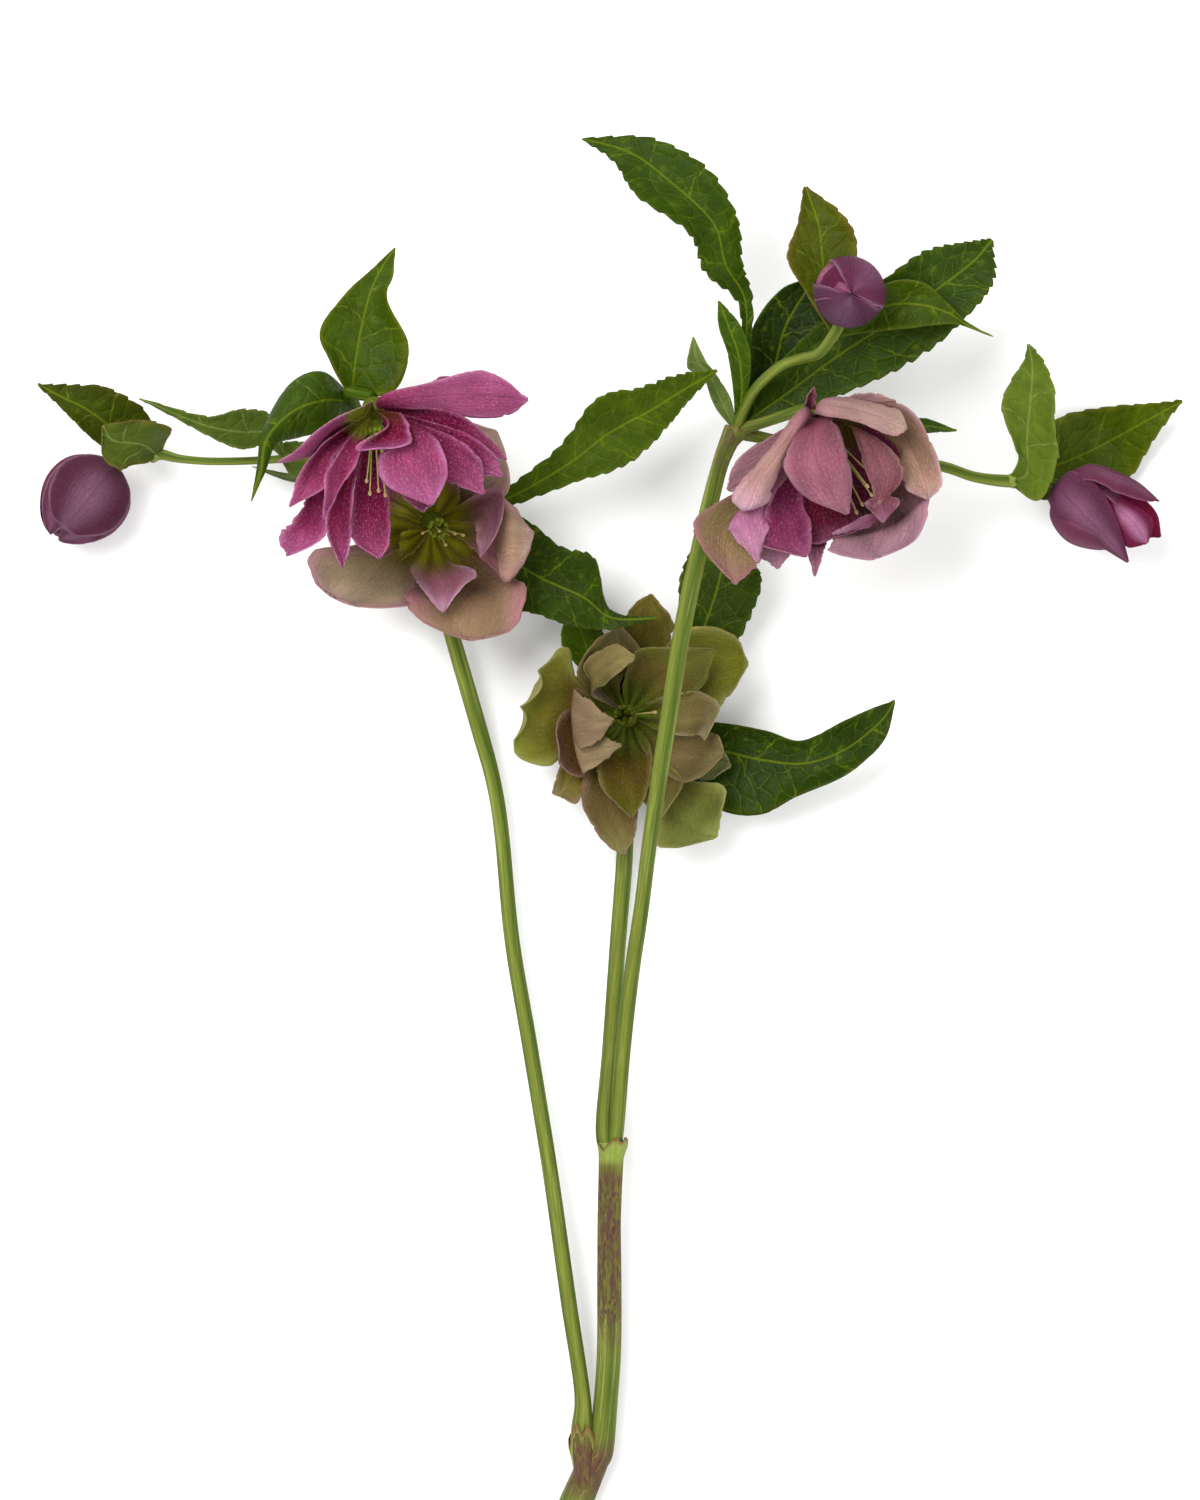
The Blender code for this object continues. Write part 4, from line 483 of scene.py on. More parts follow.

# The half open bud: its base and direction, its hidden sepals (turn, half spread, half width,
# length), and those on the seen side as blades (colours of body, middle and rim, tip, foot; the
# lighter middle is a painted highlight).
BUD_RIGHT_BASE = (124.6, 95.5, 20.3)
BUD_RIGHT_AXIS = (0.868, -0.496, 0.0)
HIDDEN_SEPALS = ((300, 50, 9.6, 25.5), (225, 50, 9.8, 25.0), (0, 46, 9.2, 25.5), (165, 44, 9.2, 24.5))
OPEN_SEPALS = read_rows("""
sepal_1 #6c0a30 #7c0c38 #8c2850  154.8 83.2 17.5  130 97 19
138 100.5 22  136 96.5 23  133 91 22
147.5 95.5 20  146.5 90.5 21  142 84 20
153.4 90 19  152.8 86.8 19  151.5 83 18
sepal_2 #6c1c40 #a87090 #7c1440  150.8 81.2 24.5  131 98 22
143.2 94 24  140.6 92.4 25  138.5 90 24
150.1 90.2 25  145.8 88 26.8  142 84.6 25
152.4 86.7 24  149 84.1 25.8  145.3 80.3 24
sepal_3 #633046 #74465c #9c6078  154.2 92.9 24  124.2 96.4 21
132.6 103 22  133.5 101.4 27  133.8 98.6 28.6
140.7 101.8 22  141.5 99.6 27  141.8 95.8 28.4
147.5 98.7 22  148.2 96.8 26  148.3 93.2 27
sepal_4 #5e3048 #7c5068 #8a3c5c  145.4 75.9 24.5  123.4 94.2 21
128.8 101.2 24.5  125.3 96.6 28  123.9 91.9 22
135.4 98.9 27.5  129.4 92.8 30  124.4 88.6 24
139.3 93.6 28  133.7 88.2 30  128.8 84.4 23
142.8 86.2 27  138.6 83.8 28  135.4 81.6 22
""")

# Sheaths round the joints: base, direction, low and high radius, height, colours of foot, body and
# rim, seed.
SHEATH = ("#8c9c46", "#8c9c46", "#7c5a36")
COLLARS = (
    ((0.55, -94.0, 12.0), (0.05, 1, 0.02), 3.2, 4.45, 7.7, SHEATH, 0.4),
    ((-7.4, -184.5, 7.0), (-0.01, 1, 0.12), 1.9, 3.9, 17.0, ("#6a5236", "#8c9c46", "#7c5a36"), 2.1),
    ((33.9, 109.5, 34.2), (0.5, 0.9, 0), 2.5, 3.3, 4.2, ("#6f6a34", "#6f7c34", "#86643c"), 1.2),
    ((-126.0, 106.2, 17.0), (-1, -0.1, -0.1), 1.6, 2.2, 2.4, SHEATH, 3.0),
    ((111.4, 98.6, 23.0), (1, 0.1, 0), 1.75, 2.3, 2.6, SHEATH, 0.9),
)


def through(points, at):
    """A smooth line through the points, read at the given places from 0 to 1."""
    pts = np.asarray(points, dtype=float)
    ends = np.vstack([2 * pts[0] - pts[1], pts, 2 * pts[-1] - pts[-2]])
    where = np.clip(np.asarray(at, dtype=float), 0.0, 1.0) * (len(pts) - 1)
    seg = np.minimum(where.astype(int), len(pts) - 2)
    t = (where - seg)[:, None]
    p0, p1, p2, p3 = ends[seg], ends[seg + 1], ends[seg + 2], ends[seg + 3]
    return 0.5 * (2 * p1 + (p2 - p0) * t + (2 * p0 - 5 * p1 + 4 * p2 - p3) * t ** 2
                  + (3 * p1 - p0 - 3 * p2 + p3) * t ** 3)


def lengths(line):
    """How far each point is along the line."""
    return np.concatenate([[0], np.cumsum(np.linalg.norm(np.diff(line, axis=0), axis=1))])


def rgb(code):
    """Linear colour of a #rrggbb code."""
    part = np.array([int(code[i:i + 2], 16) / 255 for i in (1, 3, 5)])
    return SHADE * np.where(part <= 0.04045, part / 12.92, ((part + 0.055) / 1.055) ** 2.4)


def ease(x, low, high):
    """0 at low, 1 at high, with soft ends."""
    t = np.clip((x - low) / (high - low), 0, 1)
    return t * t * (3 - 2 * t)


def blend(a, b, part):
    """From colour a to colour b by a part for each point."""
    return a * (1 - part[:, None]) + b * part[:, None]


def wobble(x, seed):
    """A smooth irregular line of about -1 to 1, the same on every run."""
    rng = np.random.default_rng(seed)
    total = np.zeros_like(np.asarray(x, float))
    for k in range(1, 6):
        total += np.sin(x * (1.7 ** k) + rng.uniform(0, 6.28)) * rng.uniform(0.5, 1) / k
    return total / 1.6


def graded(colours, u):
    """A colour for each u: the petal's foot, middle and tip colours easing into each other."""
    foot, middle, tip = colours
    return blend(blend(foot, middle, ease(u, 0.12, 0.5)), tip, ease(u, 0.5, 0.92))


def grid(rows, cols, along=(0, 1), across=(-1, 1)):
    """The places of a grid's points along and across it, and its faces."""
    u, v = np.meshgrid(np.linspace(*along, rows + 1), np.linspace(*across, cols + 1), indexing='ij')
    i, j = np.meshgrid(np.arange(rows), np.arange(cols), indexing='ij')
    a = (i * (cols + 1) + j).ravel()
    return u.ravel(), v.ravel(), np.stack([a, a + 1, a + cols + 2, a + cols + 1], 1)


def grid_normals(points, rows, cols):
    shape = points.reshape(rows + 1, cols + 1, 3)
    return np.cross(np.gradient(shape, axis=1), np.gradient(shape, axis=0)).reshape(-1, 3)


def spokes(a, n, angle):
    """Directions turned from n round the axis a by the angles."""
    n = n / np.linalg.norm(n)
    return n * np.cos(angle)[:, None] + np.cross(a, n) * np.sin(angle)[:, None]


def add_object(name, data):
    obj = bpy.data.objects.new(name, data)
    bpy.context.scene.collection.objects.link(obj)
    return obj


class Piece:
    """Collects the surfaces of one piece, with their texture places and tints."""

    def __init__(self, name):
        self.name, self.parts, self.count = name, [], 0

    def add(self, points, faces, blade, skin, tint, vein):
        """faces: rows of 4 point numbers; blade and skin: texture places for each face corner."""
        self.parts.append((points, faces + self.count, blade, skin, tint, vein))
        self.count += len(points)

    def add_sheet(self, points, faces, blade, skin, tint, vein):
        """The same with the texture places for each point."""
        corner = faces.ravel()
        self.add(points, faces, blade[corner], skin[corner], tint, vein)

    def build(self, mat, node):
        points, faces, blade, skin, tint, vein = (np.concatenate(part) for part in zip(*self.parts))
        points = points * MM
        points[:, 2] = np.maximum(points[:, 2], 0.0)
        mesh = bpy.data.meshes.new(self.name)
        mesh.from_pydata(points.tolist(), [], faces.tolist())
        for name, place in (("Blade", blade), ("Skin", skin)):
            layer = mesh.uv_layers.new(name=name)
            layer.data.foreach_set("uv", place.astype(np.float32).ravel())
        tint = np.hstack([tint, np.ones((len(tint), 1))])
        layer = mesh.attributes.new("tint", 'FLOAT_COLOR', 'POINT')
        layer.data.foreach_set("color", tint.astype(np.float32).ravel())
        layer = mesh.attributes.new("vein", 'FLOAT', 'POINT')
        layer.data.foreach_set("value", vein.astype(np.float32))
        mesh.shade_smooth()
        mesh.validate()
        mesh.materials.append(mat)
        obj = add_object(self.name, mesh)
        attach(obj, "root")
        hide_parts(node)


def blade_lines(foot, stations, tip):
    """Left edge, middle and right edge of a blade from its foot to its tip."""
    foot, tip = np.array(foot, float), np.array(tip, float)
    sides = np.array(stations, float).reshape(-1, 3, 3).swapaxes(0, 1)
    mid = sides[1]
    return [[foot + CLAW * (side[0] - mid[0]), *side, tip + TIP * (side[-1] - mid[-1])]
            for side in sides]


def blade_points(lines, u, v, wave, phase):
    """Points of the blade at u along it and v across it (-1 left edge, 1 right edge)."""
    left, mid, right = (through(line, u) for line in lines)
    far = v[:, None]
    points = mid + far * (right - left) / 2 + far ** 2 * ((left + right) / 2 - mid)
    along = through(lines[1], u + 0.02) - through(lines[1], u - 0.02)
    normal = np.cross(right - left, along)
    normal /= np.linalg.norm(normal, axis=1)[:, None] + 1e-9
    swell = wave * np.abs(v) ** 2 * np.sin(math.pi * u) ** 0.5
    ripple = np.sin(2 * math.pi * 2.2 * u + phase + np.where(v > 0, 1.9, 0.0))
    return points + normal * (swell * ripple)[:, None]


def add_blade(piece, foot, stations, tip, look, rows, cols, outline, thick=THICK, wave=0.0,
              phase=0.0, warp=None):
    """look(u, v, side, points) gives colour and vein strength; outline(u, side of the edge) pulls
    the edge in by millimetres; warp(u, v, points) moves the points."""
    lines = blade_lines(foot, stations, tip)
    u, v, sheet = grid(rows, cols)
    half = np.linalg.norm(through(lines[2], u) - through(lines[0], u), axis=1) / 2
    pull = np.where(v < 0, outline(u, -1), outline(u, 1)) * np.abs(v) ** 3
    reach = v * (1 - np.clip(pull / np.maximum(half, 0.3), -0.3, 0.85))
    points = blade_points(lines, u, reach, wave, phase)
    if warp is not None:
        points = warp(u, v, points)
    normal = grid_normals(points, rows, cols)
    normal /= np.linalg.norm(normal, axis=1)[:, None] + 1e-12
    edge = np.maximum(np.abs(v) ** 4, ease(u, 0.93, 1.0))
    deep = thick * (0.5 - 0.28 * edge)[:, None]
    steps = np.linspace(0, 1, rows + 1)
    skin = np.stack([v * half / CM, np.interp(u, steps, lengths(through(lines[1], steps))) / CM], 1)
    place = np.stack([v / 2 + 0.5, u], 1)
    n = len(u)
    ring = np.concatenate([np.arange(cols + 1), np.arange(1, rows + 1) * (cols + 1) + cols,
                           rows * (cols + 1) + np.arange(cols - 1, -1, -1),
                           np.arange(rows - 1, 0, -1) * (cols + 1)])
    follow = np.roll(ring, -1)
    rim = np.stack([ring, ring + n, follow + n, follow], 1)
    faces = np.vstack([sheet, sheet[:, ::-1] + n, rim])
    tops, vein_top = look(u, v, 0, points)
    backs, vein_back = look(u, v, 1, points)
    piece.add_sheet(np.vstack([points + normal * deep, points - normal * deep]), faces,
                    np.tile(place, (2, 1)), np.tile(skin, (2, 1)), np.vstack([tops, backs]),
                    np.concatenate([vein_top, vein_back]))


def add_tube(piece, points, look, sides, steps, squash=None):
    """A round tube through points with radii, closed at both ends. look(t, angle) gives colour and
    vein strength, squash(t, angle) what the radius is multiplied by."""
    t = np.linspace(0, 1, steps + 1)
    fine = through(points, t)
    centre, radius = fine[:, :3], fine[:, 3]
    way = np.gradient(centre, axis=0)
    way /= np.linalg.norm(way, axis=1)[:, None]
    side = np.zeros_like(centre)
    side[0] = np.cross(way[0], (0.31, 0.17, 0.94))
    for i in range(1, len(side)):
        side[i] = side[i - 1] - way[i] * side[i - 1].dot(way[i])
        side[i] /= np.linalg.norm(side[i])
    side[0] /= np.linalg.norm(side[0])
    other = np.cross(way, side)
    angle = np.arange(sides) * 2 * math.pi / sides
    tt, aa = np.meshgrid(t, angle, indexing='ij')
    size = np.repeat(radius, sides).reshape(len(t), sides)
    if squash is not None:
        size = size * squash(tt, aa)
    ring = (centre[:, None, :] + size[:, :, None] * (side[:, None, :] * np.cos(angle)[None, :, None]
            + other[:, None, :] * np.sin(angle)[None, :, None]))
    i, j = np.meshgrid(np.arange(steps), np.arange(sides), indexing='ij')
    a, b = i * sides + j, i * sides + (j + 1) % sides
    faces = np.stack([a, b, b + sides, a + sides], 2).reshape(-1, 4)
    ci = np.stack([i, i, i + 1, i + 1], 2).ravel()
    cj = np.stack([j, j + 1, j + 1, j], 2).ravel()
    place = np.stack([cj / sides, t[ci]], 1)
    skin = np.stack([cj / sides * 2 * math.pi * radius.mean() / CM, lengths(centre)[ci] / CM], 1)
    colour, strength = look(tt.ravel(), aa.ravel())
    count = len(strength)
    points = np.vstack([ring.reshape(-1, 3), centre[0], centre[-1]])
    colour = np.vstack([colour, colour[0], colour[-1]])
    strength = np.concatenate([strength, strength[:1], strength[-1:]])
    j = np.arange(0, sides, 2)
    low = np.stack([(j + 2) % sides, (j + 1) % sides, j, np.full(len(j), count)], 1)
    top = np.hstack([steps * sides + low[:, [2, 1, 0]], np.full((len(j), 1), count + 1)])
    pad = np.zeros((8 * len(j), 2))
    piece.add(points, np.vstack([faces, low, top]), np.vstack([place, pad + (0.5, 0.0)]),
              np.vstack([skin, pad + 0.01]), colour, strength)


def add_ball(piece, centre, axis, wide, half, colour, segments=28, rings=16):
    """A ball stretched along the axis: half width, half length."""
    turn = Vector(axis).normalized().to_track_quat('Z', 'Y').to_matrix()
    theta, phi, faces = grid(rings, segments, (0.02, math.pi - 0.02), (0, 2 * math.pi))
    spot = np.stack([np.sin(theta) * np.cos(phi) * wide, np.sin(theta) * np.sin(phi) * wide,
                     np.cos(theta) * half], 1)
    points = spot @ np.array(turn).T + np.array(centre)
    place = np.stack([phi / (2 * math.pi), theta / math.pi], 1)
    skin = place * (2 * math.pi * wide / CM, math.pi * half / CM)
    piece.add_sheet(points, faces[:, ::-1], place, skin, np.tile(colour, (len(points), 1)),
                    np.full(len(points), 0.3))


class Value:
    """A number or vector that a node gives. Sums with it add the nodes that work them out."""

    def __init__(self, graph, socket):
        self.graph, self.socket = graph, socket

    def __add__(self, other):
        return self.graph.math('ADD', self, other)

    def __sub__(self, other):
        return self.graph.math('SUBTRACT', self, other)

    def __mul__(self, other):
        return self.graph.math('MULTIPLY', self, other)

    def __abs__(self):
        return self.graph.math('ABSOLUTE', self)

    def over(self, other):
        return self.graph.math('MAXIMUM', self, other)

    def to_middle(self):
        """How far the part after the point is from one half."""
        return abs(self.graph.math('FRACT', self) - 0.5)


class Graph:
    """Short words for building one material's nodes."""

    def __init__(self, name, rough, subsurface=0.0, specular=0.15):
        self.mat = bpy.data.materials.new(name)
        self.mat.use_nodes = True
        self.tree = self.mat.node_tree
        self.shader = self.tree.nodes["Principled BSDF"]
        for key, value in (("Roughness", rough), ("Specular IOR Level", specular),
                           ("Subsurface Weight", subsurface), ("Subsurface Scale", 0.0015)):
            self.shader.inputs[key].default_value = value

    def node(self, kind, feeds, out=0, **settings):
        node = self.tree.nodes.new(kind)
        for key, value in settings.items():
            setattr(node, key, value)
        for key, value in feeds.items():
            self.feed(node.inputs[key], value)
        return Value(self, node.outputs[out])

    def feed(self, socket, value):
        if isinstance(value, Value):
            self.tree.links.new(value.socket, socket)
        else:
            socket.default_value = value

    def surface(self):
        """The piece's own data: tint, vein strength, the place on the blade, the place in
        centimetres, and that one's x and y."""
        skin = self.node("ShaderNodeUVMap", {}, uv_map="Skin")
        return (self.node("ShaderNodeAttribute", {}, "Color", attribute_name="tint"),
                self.node("ShaderNodeAttribute", {}, "Fac", attribute_name="vein"),
                self.node("ShaderNodeUVMap", {}, uv_map="Blade"), skin,
                self.split(skin, "X"), self.split(skin, "Y"))

    def split(self, vector, axis):
        return self.node("ShaderNodeSeparateXYZ", {0: vector}, axis)

    def join(self, x, y, z=0.0):
        return self.node("ShaderNodeCombineXYZ", {0: x, 1: y, 2: z})

    def math(self, op, a, b=0.0):
        return self.node("ShaderNodeMath", {0: a, 1: b}, operation=op)

    def step(self, x, low, high, to_low=0.0, to_high=1.0):
        return self.node("ShaderNodeMapRange", {0: x, 1: low, 2: high, 3: to_low, 4: to_high},
                         interpolation_type='SMOOTHSTEP')

    def mix(self, part, a, b, way='MIX'):
        """From a to b by part. Both may be colours of three numbers."""
        a, b = (value if isinstance(value, Value) else (*value, 1.0) for value in (a, b))
        return self.node("ShaderNodeMix", {0: part, 6: a, 7: b}, 2, data_type='RGBA',
                         blend_type=way)

    def shaded(self, colour, height, low, high, dark, light):
        """The colour darkened and lightened as the height goes from low to high."""
        shade = self.step(height, low, high, dark, light)
        return self.mix(1.0, colour, self.join(shade, shade, shade), 'MULTIPLY')

    def noise(self, vector, scale, detail=2.0, rough=0.5):
        return self.node("ShaderNodeTexNoise", {"Vector": vector, "Scale": scale,
                                                "Detail": detail, "Roughness": rough}, "Fac")

    def cells(self, vector, scale, feature='DISTANCE_TO_EDGE'):
        return self.node("ShaderNodeTexVoronoi", {"Vector": vector, "Scale": scale}, "Distance",
                         feature=feature, voronoi_dimensions='2D')

    def done(self, colour, height=None, depth=0.0, strength=1.0):
        """The finished material, with a bump of that depth in metres."""
        if height is not None:
            self.feed(self.shader.inputs["Normal"], self.node("ShaderNodeBump", {
                "Height": height, "Distance": depth, "Strength": strength}))
        self.feed(self.shader.inputs["Base Color"], colour)
        return self.mat


def petal_material(name, ink, strength, speck, cell, ribs=13):
    """Tinted petal: a midrib, fanned veins, a fine net of long cells, pale flecks, soft mottling."""
    g = Graph(name, 0.62, subsurface=0.06, specular=0.05)
    tint, power, blade, skin, x, y = g.surface()
    bend = g.noise(skin, 2.2, 3.0)
    rib = g.step((g.split(blade, "X") * ribs + bend * 1.3).to_middle(), 0.13, 0.0)
    warped = g.join(x + bend * 0.22, y * 0.42)
    net = g.step(g.cells(warped, cell), 0.15, 0.0)
    fine = g.step(g.cells(warped, 2 * cell), 0.22, 0.0)
    mid = g.step(abs(x), 0.05, 0.015)
    patch = g.step(g.noise(skin, 1.8, 4.0), 0.35, 0.65, 0.25, 1.0)
    lines = (rib * 0.95).over(net * 0.7).over(fine * 0.45) * patch
    lines = lines.over(mid * 0.6) * power
    colour = g.mix(lines * strength, tint, g.mix(1.0, tint, ink, 'MULTIPLY'))
    fleck = g.step(g.noise(warped, 24.0, 2.0), 0.50, 0.72)
    colour = g.mix(fleck * speck, colour, g.mix(0.25, tint, (1.0, 0.88, 0.92)))
    colour = g.shaded(colour, g.noise(skin, 0.9, 3.0), 0.3, 0.7, 0.80, 1.12)
    return g.done(colour, lines * -0.6 + g.noise(skin, 12.0) * 0.6, 0.0003, 0.8)


def leaf_material(name, vein_colour, strength, gloss=0.4, blotch=None):
    """Leaf: midrib, side veins that run forward, a fine net, and cupped fields between."""
    g = Graph(name, gloss, subsurface=0.03, specular=0.08)
    tint, power, _, skin, x, y = g.surface()
    bend = g.noise(skin, 1.4, 2.0)
    away = abs(x)
    mid = g.step(away, 0.055, 0.012, 0.0, 0.8)
    run = y * 0.7 - away * 0.525 + bend * 0.5 + g.math('SIGN', x) * 0.21
    rib = g.step(run.to_middle(), 0.032, 0.004)
    warped = g.join(x + bend * 0.2, y - away * 0.5)
    cell, small = g.cells(warped, 2.2), g.cells(warped, 9.0)
    net = g.step(cell, 0.035, 0.003)
    fine = g.step(small, 0.06, 0.005)
    fade = g.step(g.noise(skin, 3.0, 2.0), 0.35, 0.62, 0.25, 1.0)
    lines = (rib * 0.85).over(net * 0.5).over(fine * 0.16) * fade
    lines = (lines * power).over(mid)
    body = g.shaded(tint, g.noise(skin, 1.3, 4.0), 0.3, 0.7, 0.72, 1.08)
    if blotch is not None:
        spots = g.step(g.noise(skin, 2.6, 3.0), 0.60, 0.70)
        body = g.mix(spots * 0.6, body, blotch)
    colour = g.mix(lines * strength, body, vein_colour)
    height = g.step(cell, 0.0, 0.25) * 0.7 + g.step(small, 0.0, 0.2) * 0.25 - mid * 0.6
    return g.done(colour, height, 0.00035, 0.8)


def stem_material():
    """Green stem: fine lengthwise ridges, pale streaks, and purple specks where the tint says."""
    g = Graph("stem_skin", 0.5, subsurface=0.04, specular=0.08)
    tint, power, _, skin, x, y = g.surface()
    streak = g.noise(g.join(x * 14.0, y * 0.5), 1.3, 3.0)
    colour = g.shaded(tint, streak, 0.25, 0.75, 0.72, 1.16)
    pale = g.step(g.noise(g.join(x * 6.0, y * 0.25), 1.1, 2.0), 0.56, 0.70)
    colour = g.mix(pale * 0.4, colour, rgb("#a2ac5e"))
    specks = g.step(g.cells(g.join(x, y * 0.35), 11.0, 'F1'), 0.42, 0.20)
    wide = g.step(g.noise(skin, 2.0, 3.0), 0.40, 0.58)
    flush = g.step(g.noise(g.join(x * 4.0, y * 1.2), 1.6, 4.0, 0.65), 0.40, 0.60) * 0.75
    colour = g.mix((specks * wide).over(flush) * power, colour, rgb("#5a2c38"))
    return g.done(colour, g.step(streak, 0.3, 0.7) + g.noise(skin, 30.0) * 0.2, 0.0002, 0.8)


def soft_material(name):
    """Small heart pieces: tinted, with fine grain."""
    g = Graph(name, 0.45, subsurface=0.05)
    tint, _, _, skin, _, _ = g.surface()
    colour = g.shaded(tint, g.noise(skin, 14.0, 3.0), 0.3, 0.7, 0.78, 1.15)
    return g.done(colour, g.noise(skin, 30.0), 0.0001)


def petal_look(name, key, codes):
    """Tints of one petal of that flower. Its name's length sets where its unevenness falls."""
    middle_at, full, gone, dark, bright = ZONES[name]
    dark, bright = rgb(dark), rgb(bright)
    codes = [rgb(code) for code in codes]
    faces = [codes[:4], codes[4:] or [c * 0.75 + rgb("#b49888") * 0.25 for c in codes]]
    start = 0.5 if name == "bloom_2" else 0.72

    def look(u, v, side, points):
        *colours, edge = faces[side]
        grown = ease(u, 0.1, 0.4)
        near = np.maximum(ease(np.abs(v), start, 1.0), ease(u, start + 0.18, 1.0)) * grown
        near = near * (0.55 + 0.3 * wobble(u * 8 + 3 * v, len(key)))
        flush = 0.16 * wobble(u * 5 + 4 * v, 3 * len(key)) * grown
        colour = blend(graded(colours, u), edge, near) * (1 + flush[:, None])
        away = points[:, :2] - middle_at
        streak = 0.5 + 0.5 * np.sin(np.arctan2(away[:, 1], away[:, 0]) * 17 + 2 * v)
        inside = 1 - ease(np.linalg.norm(away, axis=1) + 1.5 * streak, full, gone)
        inside = inside * (1.0 if side == 0 else 0.3)
        return blend(colour, blend(dark, bright, streak), inside), ease(u, 0.0, 0.2)
    return look


def leaf_look(codes):
    body, edge = (rgb(code) for code in codes)
    under = body * 0.6 + rgb("#6f8350") * 0.4

    def look(u, v, side, points):
        near = np.maximum(ease(np.abs(v), 0.8, 1.0), ease(u, 0.93, 1.0)) * 0.7
        return blend(under if side else body, edge, near), np.ones(len(u))
    return look


def sepal_tint(codes, middle, rim):
    """Bud sepal: a middle of its own colour, which is a painted highlight, and a rim of its own
    colour.
    """
    colours = [rgb(code) for code in codes]
    return blend(blend(colours[0], colours[1], middle), colours[2], rim * 0.8)


def toothed(depth, count, seed):
    """A leaf edge: small forward teeth on top of a slow unevenness."""
    def outline(u, side):
        place = u * count + (0.37 if side > 0 else 0.0)
        saw = (place % 1.0) ** 1.6
        on = ease(u, 0.16, 0.3) * (1 - ease(u, 0.97, 1.0))
        size = depth * (0.8 + 0.3 * wobble(u * 11 + side, seed + 5))
        return (size * (saw - 0.3) + 0.28 * wobble(u * 5 + side, seed)) * on
    return outline


def ragged(depth, seed, swell=0.0):
    """A petal edge: slow unevenness and small nicks, a little wider by swell."""
    def outline(u, side):
        line = wobble(u * 4.0 + 2.0 * side, seed)
        fine = wobble(u * 19.0 + side, seed + 2)
        nick = np.clip(wobble(u * 13.0 + side, seed + 1) - 0.45, 0, 1)
        return (depth * (0.5 * line + 0.22 * fine + 1.5 * nick) - swell) * ease(u, 0.1, 0.35)
    return outline


def torn(u, v, points):
    """Bites out of the torn petal's outer edge, between the spikes left standing."""
    spikes = (51.7, 45.6, 35.4, 26.0, 22.6)
    deep = (1.6, 3.6, 2.6, 0.5)
    points = points.copy()
    outer = np.maximum(ease(u, 0.62, 1.0), ease(v, 0.5, 1.0) * ease(u, 0.35, 0.7))
    for top, low, depth in zip(spikes, spikes[1:], deep):
        part = np.clip((top - points[:, 1]) / (top - low), 0, 1)
        points[:, 0] += depth * np.sin(math.pi * part) ** 0.8 * outer
    return points


def frill(seed):
    """Small soft waves of a petal's surface, stronger toward its edge."""
    def warp(u, v, points):
        out = ease(u, 0.1, 0.5) * (0.35 + 0.65 * v ** 2)
        waves = 0.30 * wobble(u * 7 + 3 * v, seed) + 0.16 * wobble(u * 17 - 6 * v, seed + 3)
        points = points.copy()
        points[:, 2] += out * waves
        return points
    return warp


def make_bloom(name, mat):
    centre, axis = FLOWERS[name]
    piece = Piece("petals_" + name)
    for i, (key, (codes, ends, stations)) in enumerate(BLOOMS[name].items()):
        tip, foot = ends[:3], ends[3:]
        if not foot:
            out = Vector(stations[0][3:6]) - Vector(centre)      # to the first station's middle
            foot = Vector(centre) + out.normalized() * FOOT_OUT
        # The flower's own number in a petal's name, as in b4_left_low, doesn't count for the seed.
        seed = 10 * i + len(key[3:] if key[1].isdigit() else key.rstrip("4"))
        add_blade(piece, foot, stations, tip, petal_look(name, key, codes),
                  26 + 8 * len(stations), 24, ragged(ROUGH.get(key, EDGE), seed, SWELL.get(key, 0.0)),
                  wave=0.5, phase=1.3 * i, warp=torn if key == "left_torn" else frill(i))
    add_ball(piece, centre, axis, RECEPTACLE, RECEPTACLE, rgb("#5c6412"))
    piece.build(mat, name)


def make_heart(name, mat):
    """Nectaries round three pods, and the flower's stamens."""
    centre, axis = FLOWERS[name]
    axis = Vector(axis).normalized()
    side = axis.cross(Vector((0.3, 0.2, 1.0))).normalized()
    other = axis.cross(side)
    base = Vector(centre) + axis * (RECEPTACLE + GAP)
    piece = Piece("heart_" + name)
    green, lime, straw, ochre = (rgb(c) for c in ("#56600c", "#7a8420", "#a89c60", "#ac9460"))
    if name == "bloom_3":
        green, lime = rgb("#343c04"), rgb("#485006")

    def fading(low, high):
        return lambda t, angle: (blend(low, high, t), np.ones(len(t)))

    def stand(turn, up, out, shape):
        """Points of a tube that leans out: how far up and out from its foot, and the radius."""
        away = side * math.cos(turn) + other * math.sin(turn)
        foot = base + axis * up + away * out
        return [(*(foot + axis * rise + away * lean), radius) for rise, lean, radius in shape]

    add_ball(piece, base + axis * 1.0, axis, 2.1, 1.6, green)
    nectary = ((0, 0, 0.35), (1.6, 0.5, 0.65), (3.2, 1.1, 0.85), (3.9, 1.5, 0.5))
    for i in range(10):
        add_tube(piece, stand(2 * math.pi * (i + 0.2 * (i % 2)) / 10, 0.9, 1.2, nectary),
                 fading(lime * 0.7, lime), 8, 10)
    pod = ((0, 0, 0.9), (3, 0.5, 1.0), (6, 0.8, 0.5), (8, 1.8, 0.2))
    for i in range(3):
        add_tube(piece, stand(2 * math.pi * (i + 0.4) / 3, 1.0, 0.7, pod), fading(green, lime), 10, 14)
    for top in STAMENS[name]:
        top = Vector(top)
        foot = base + axis * 1.0 + (top - base).cross(axis).cross(axis).normalized() * -1.0
        bend = foot.lerp(top, 0.5) + axis * 1.2
        way = (top - bend).normalized()
        add_tube(piece, [(*foot, 0.3), (*bend, 0.27), (*top, 0.2)], fading(lime, straw), 8, 24)
        add_ball(piece, top + way * 0.3, way, 0.5, 0.85, ochre, 12, 8)
    piece.build(mat, name + "_heart")


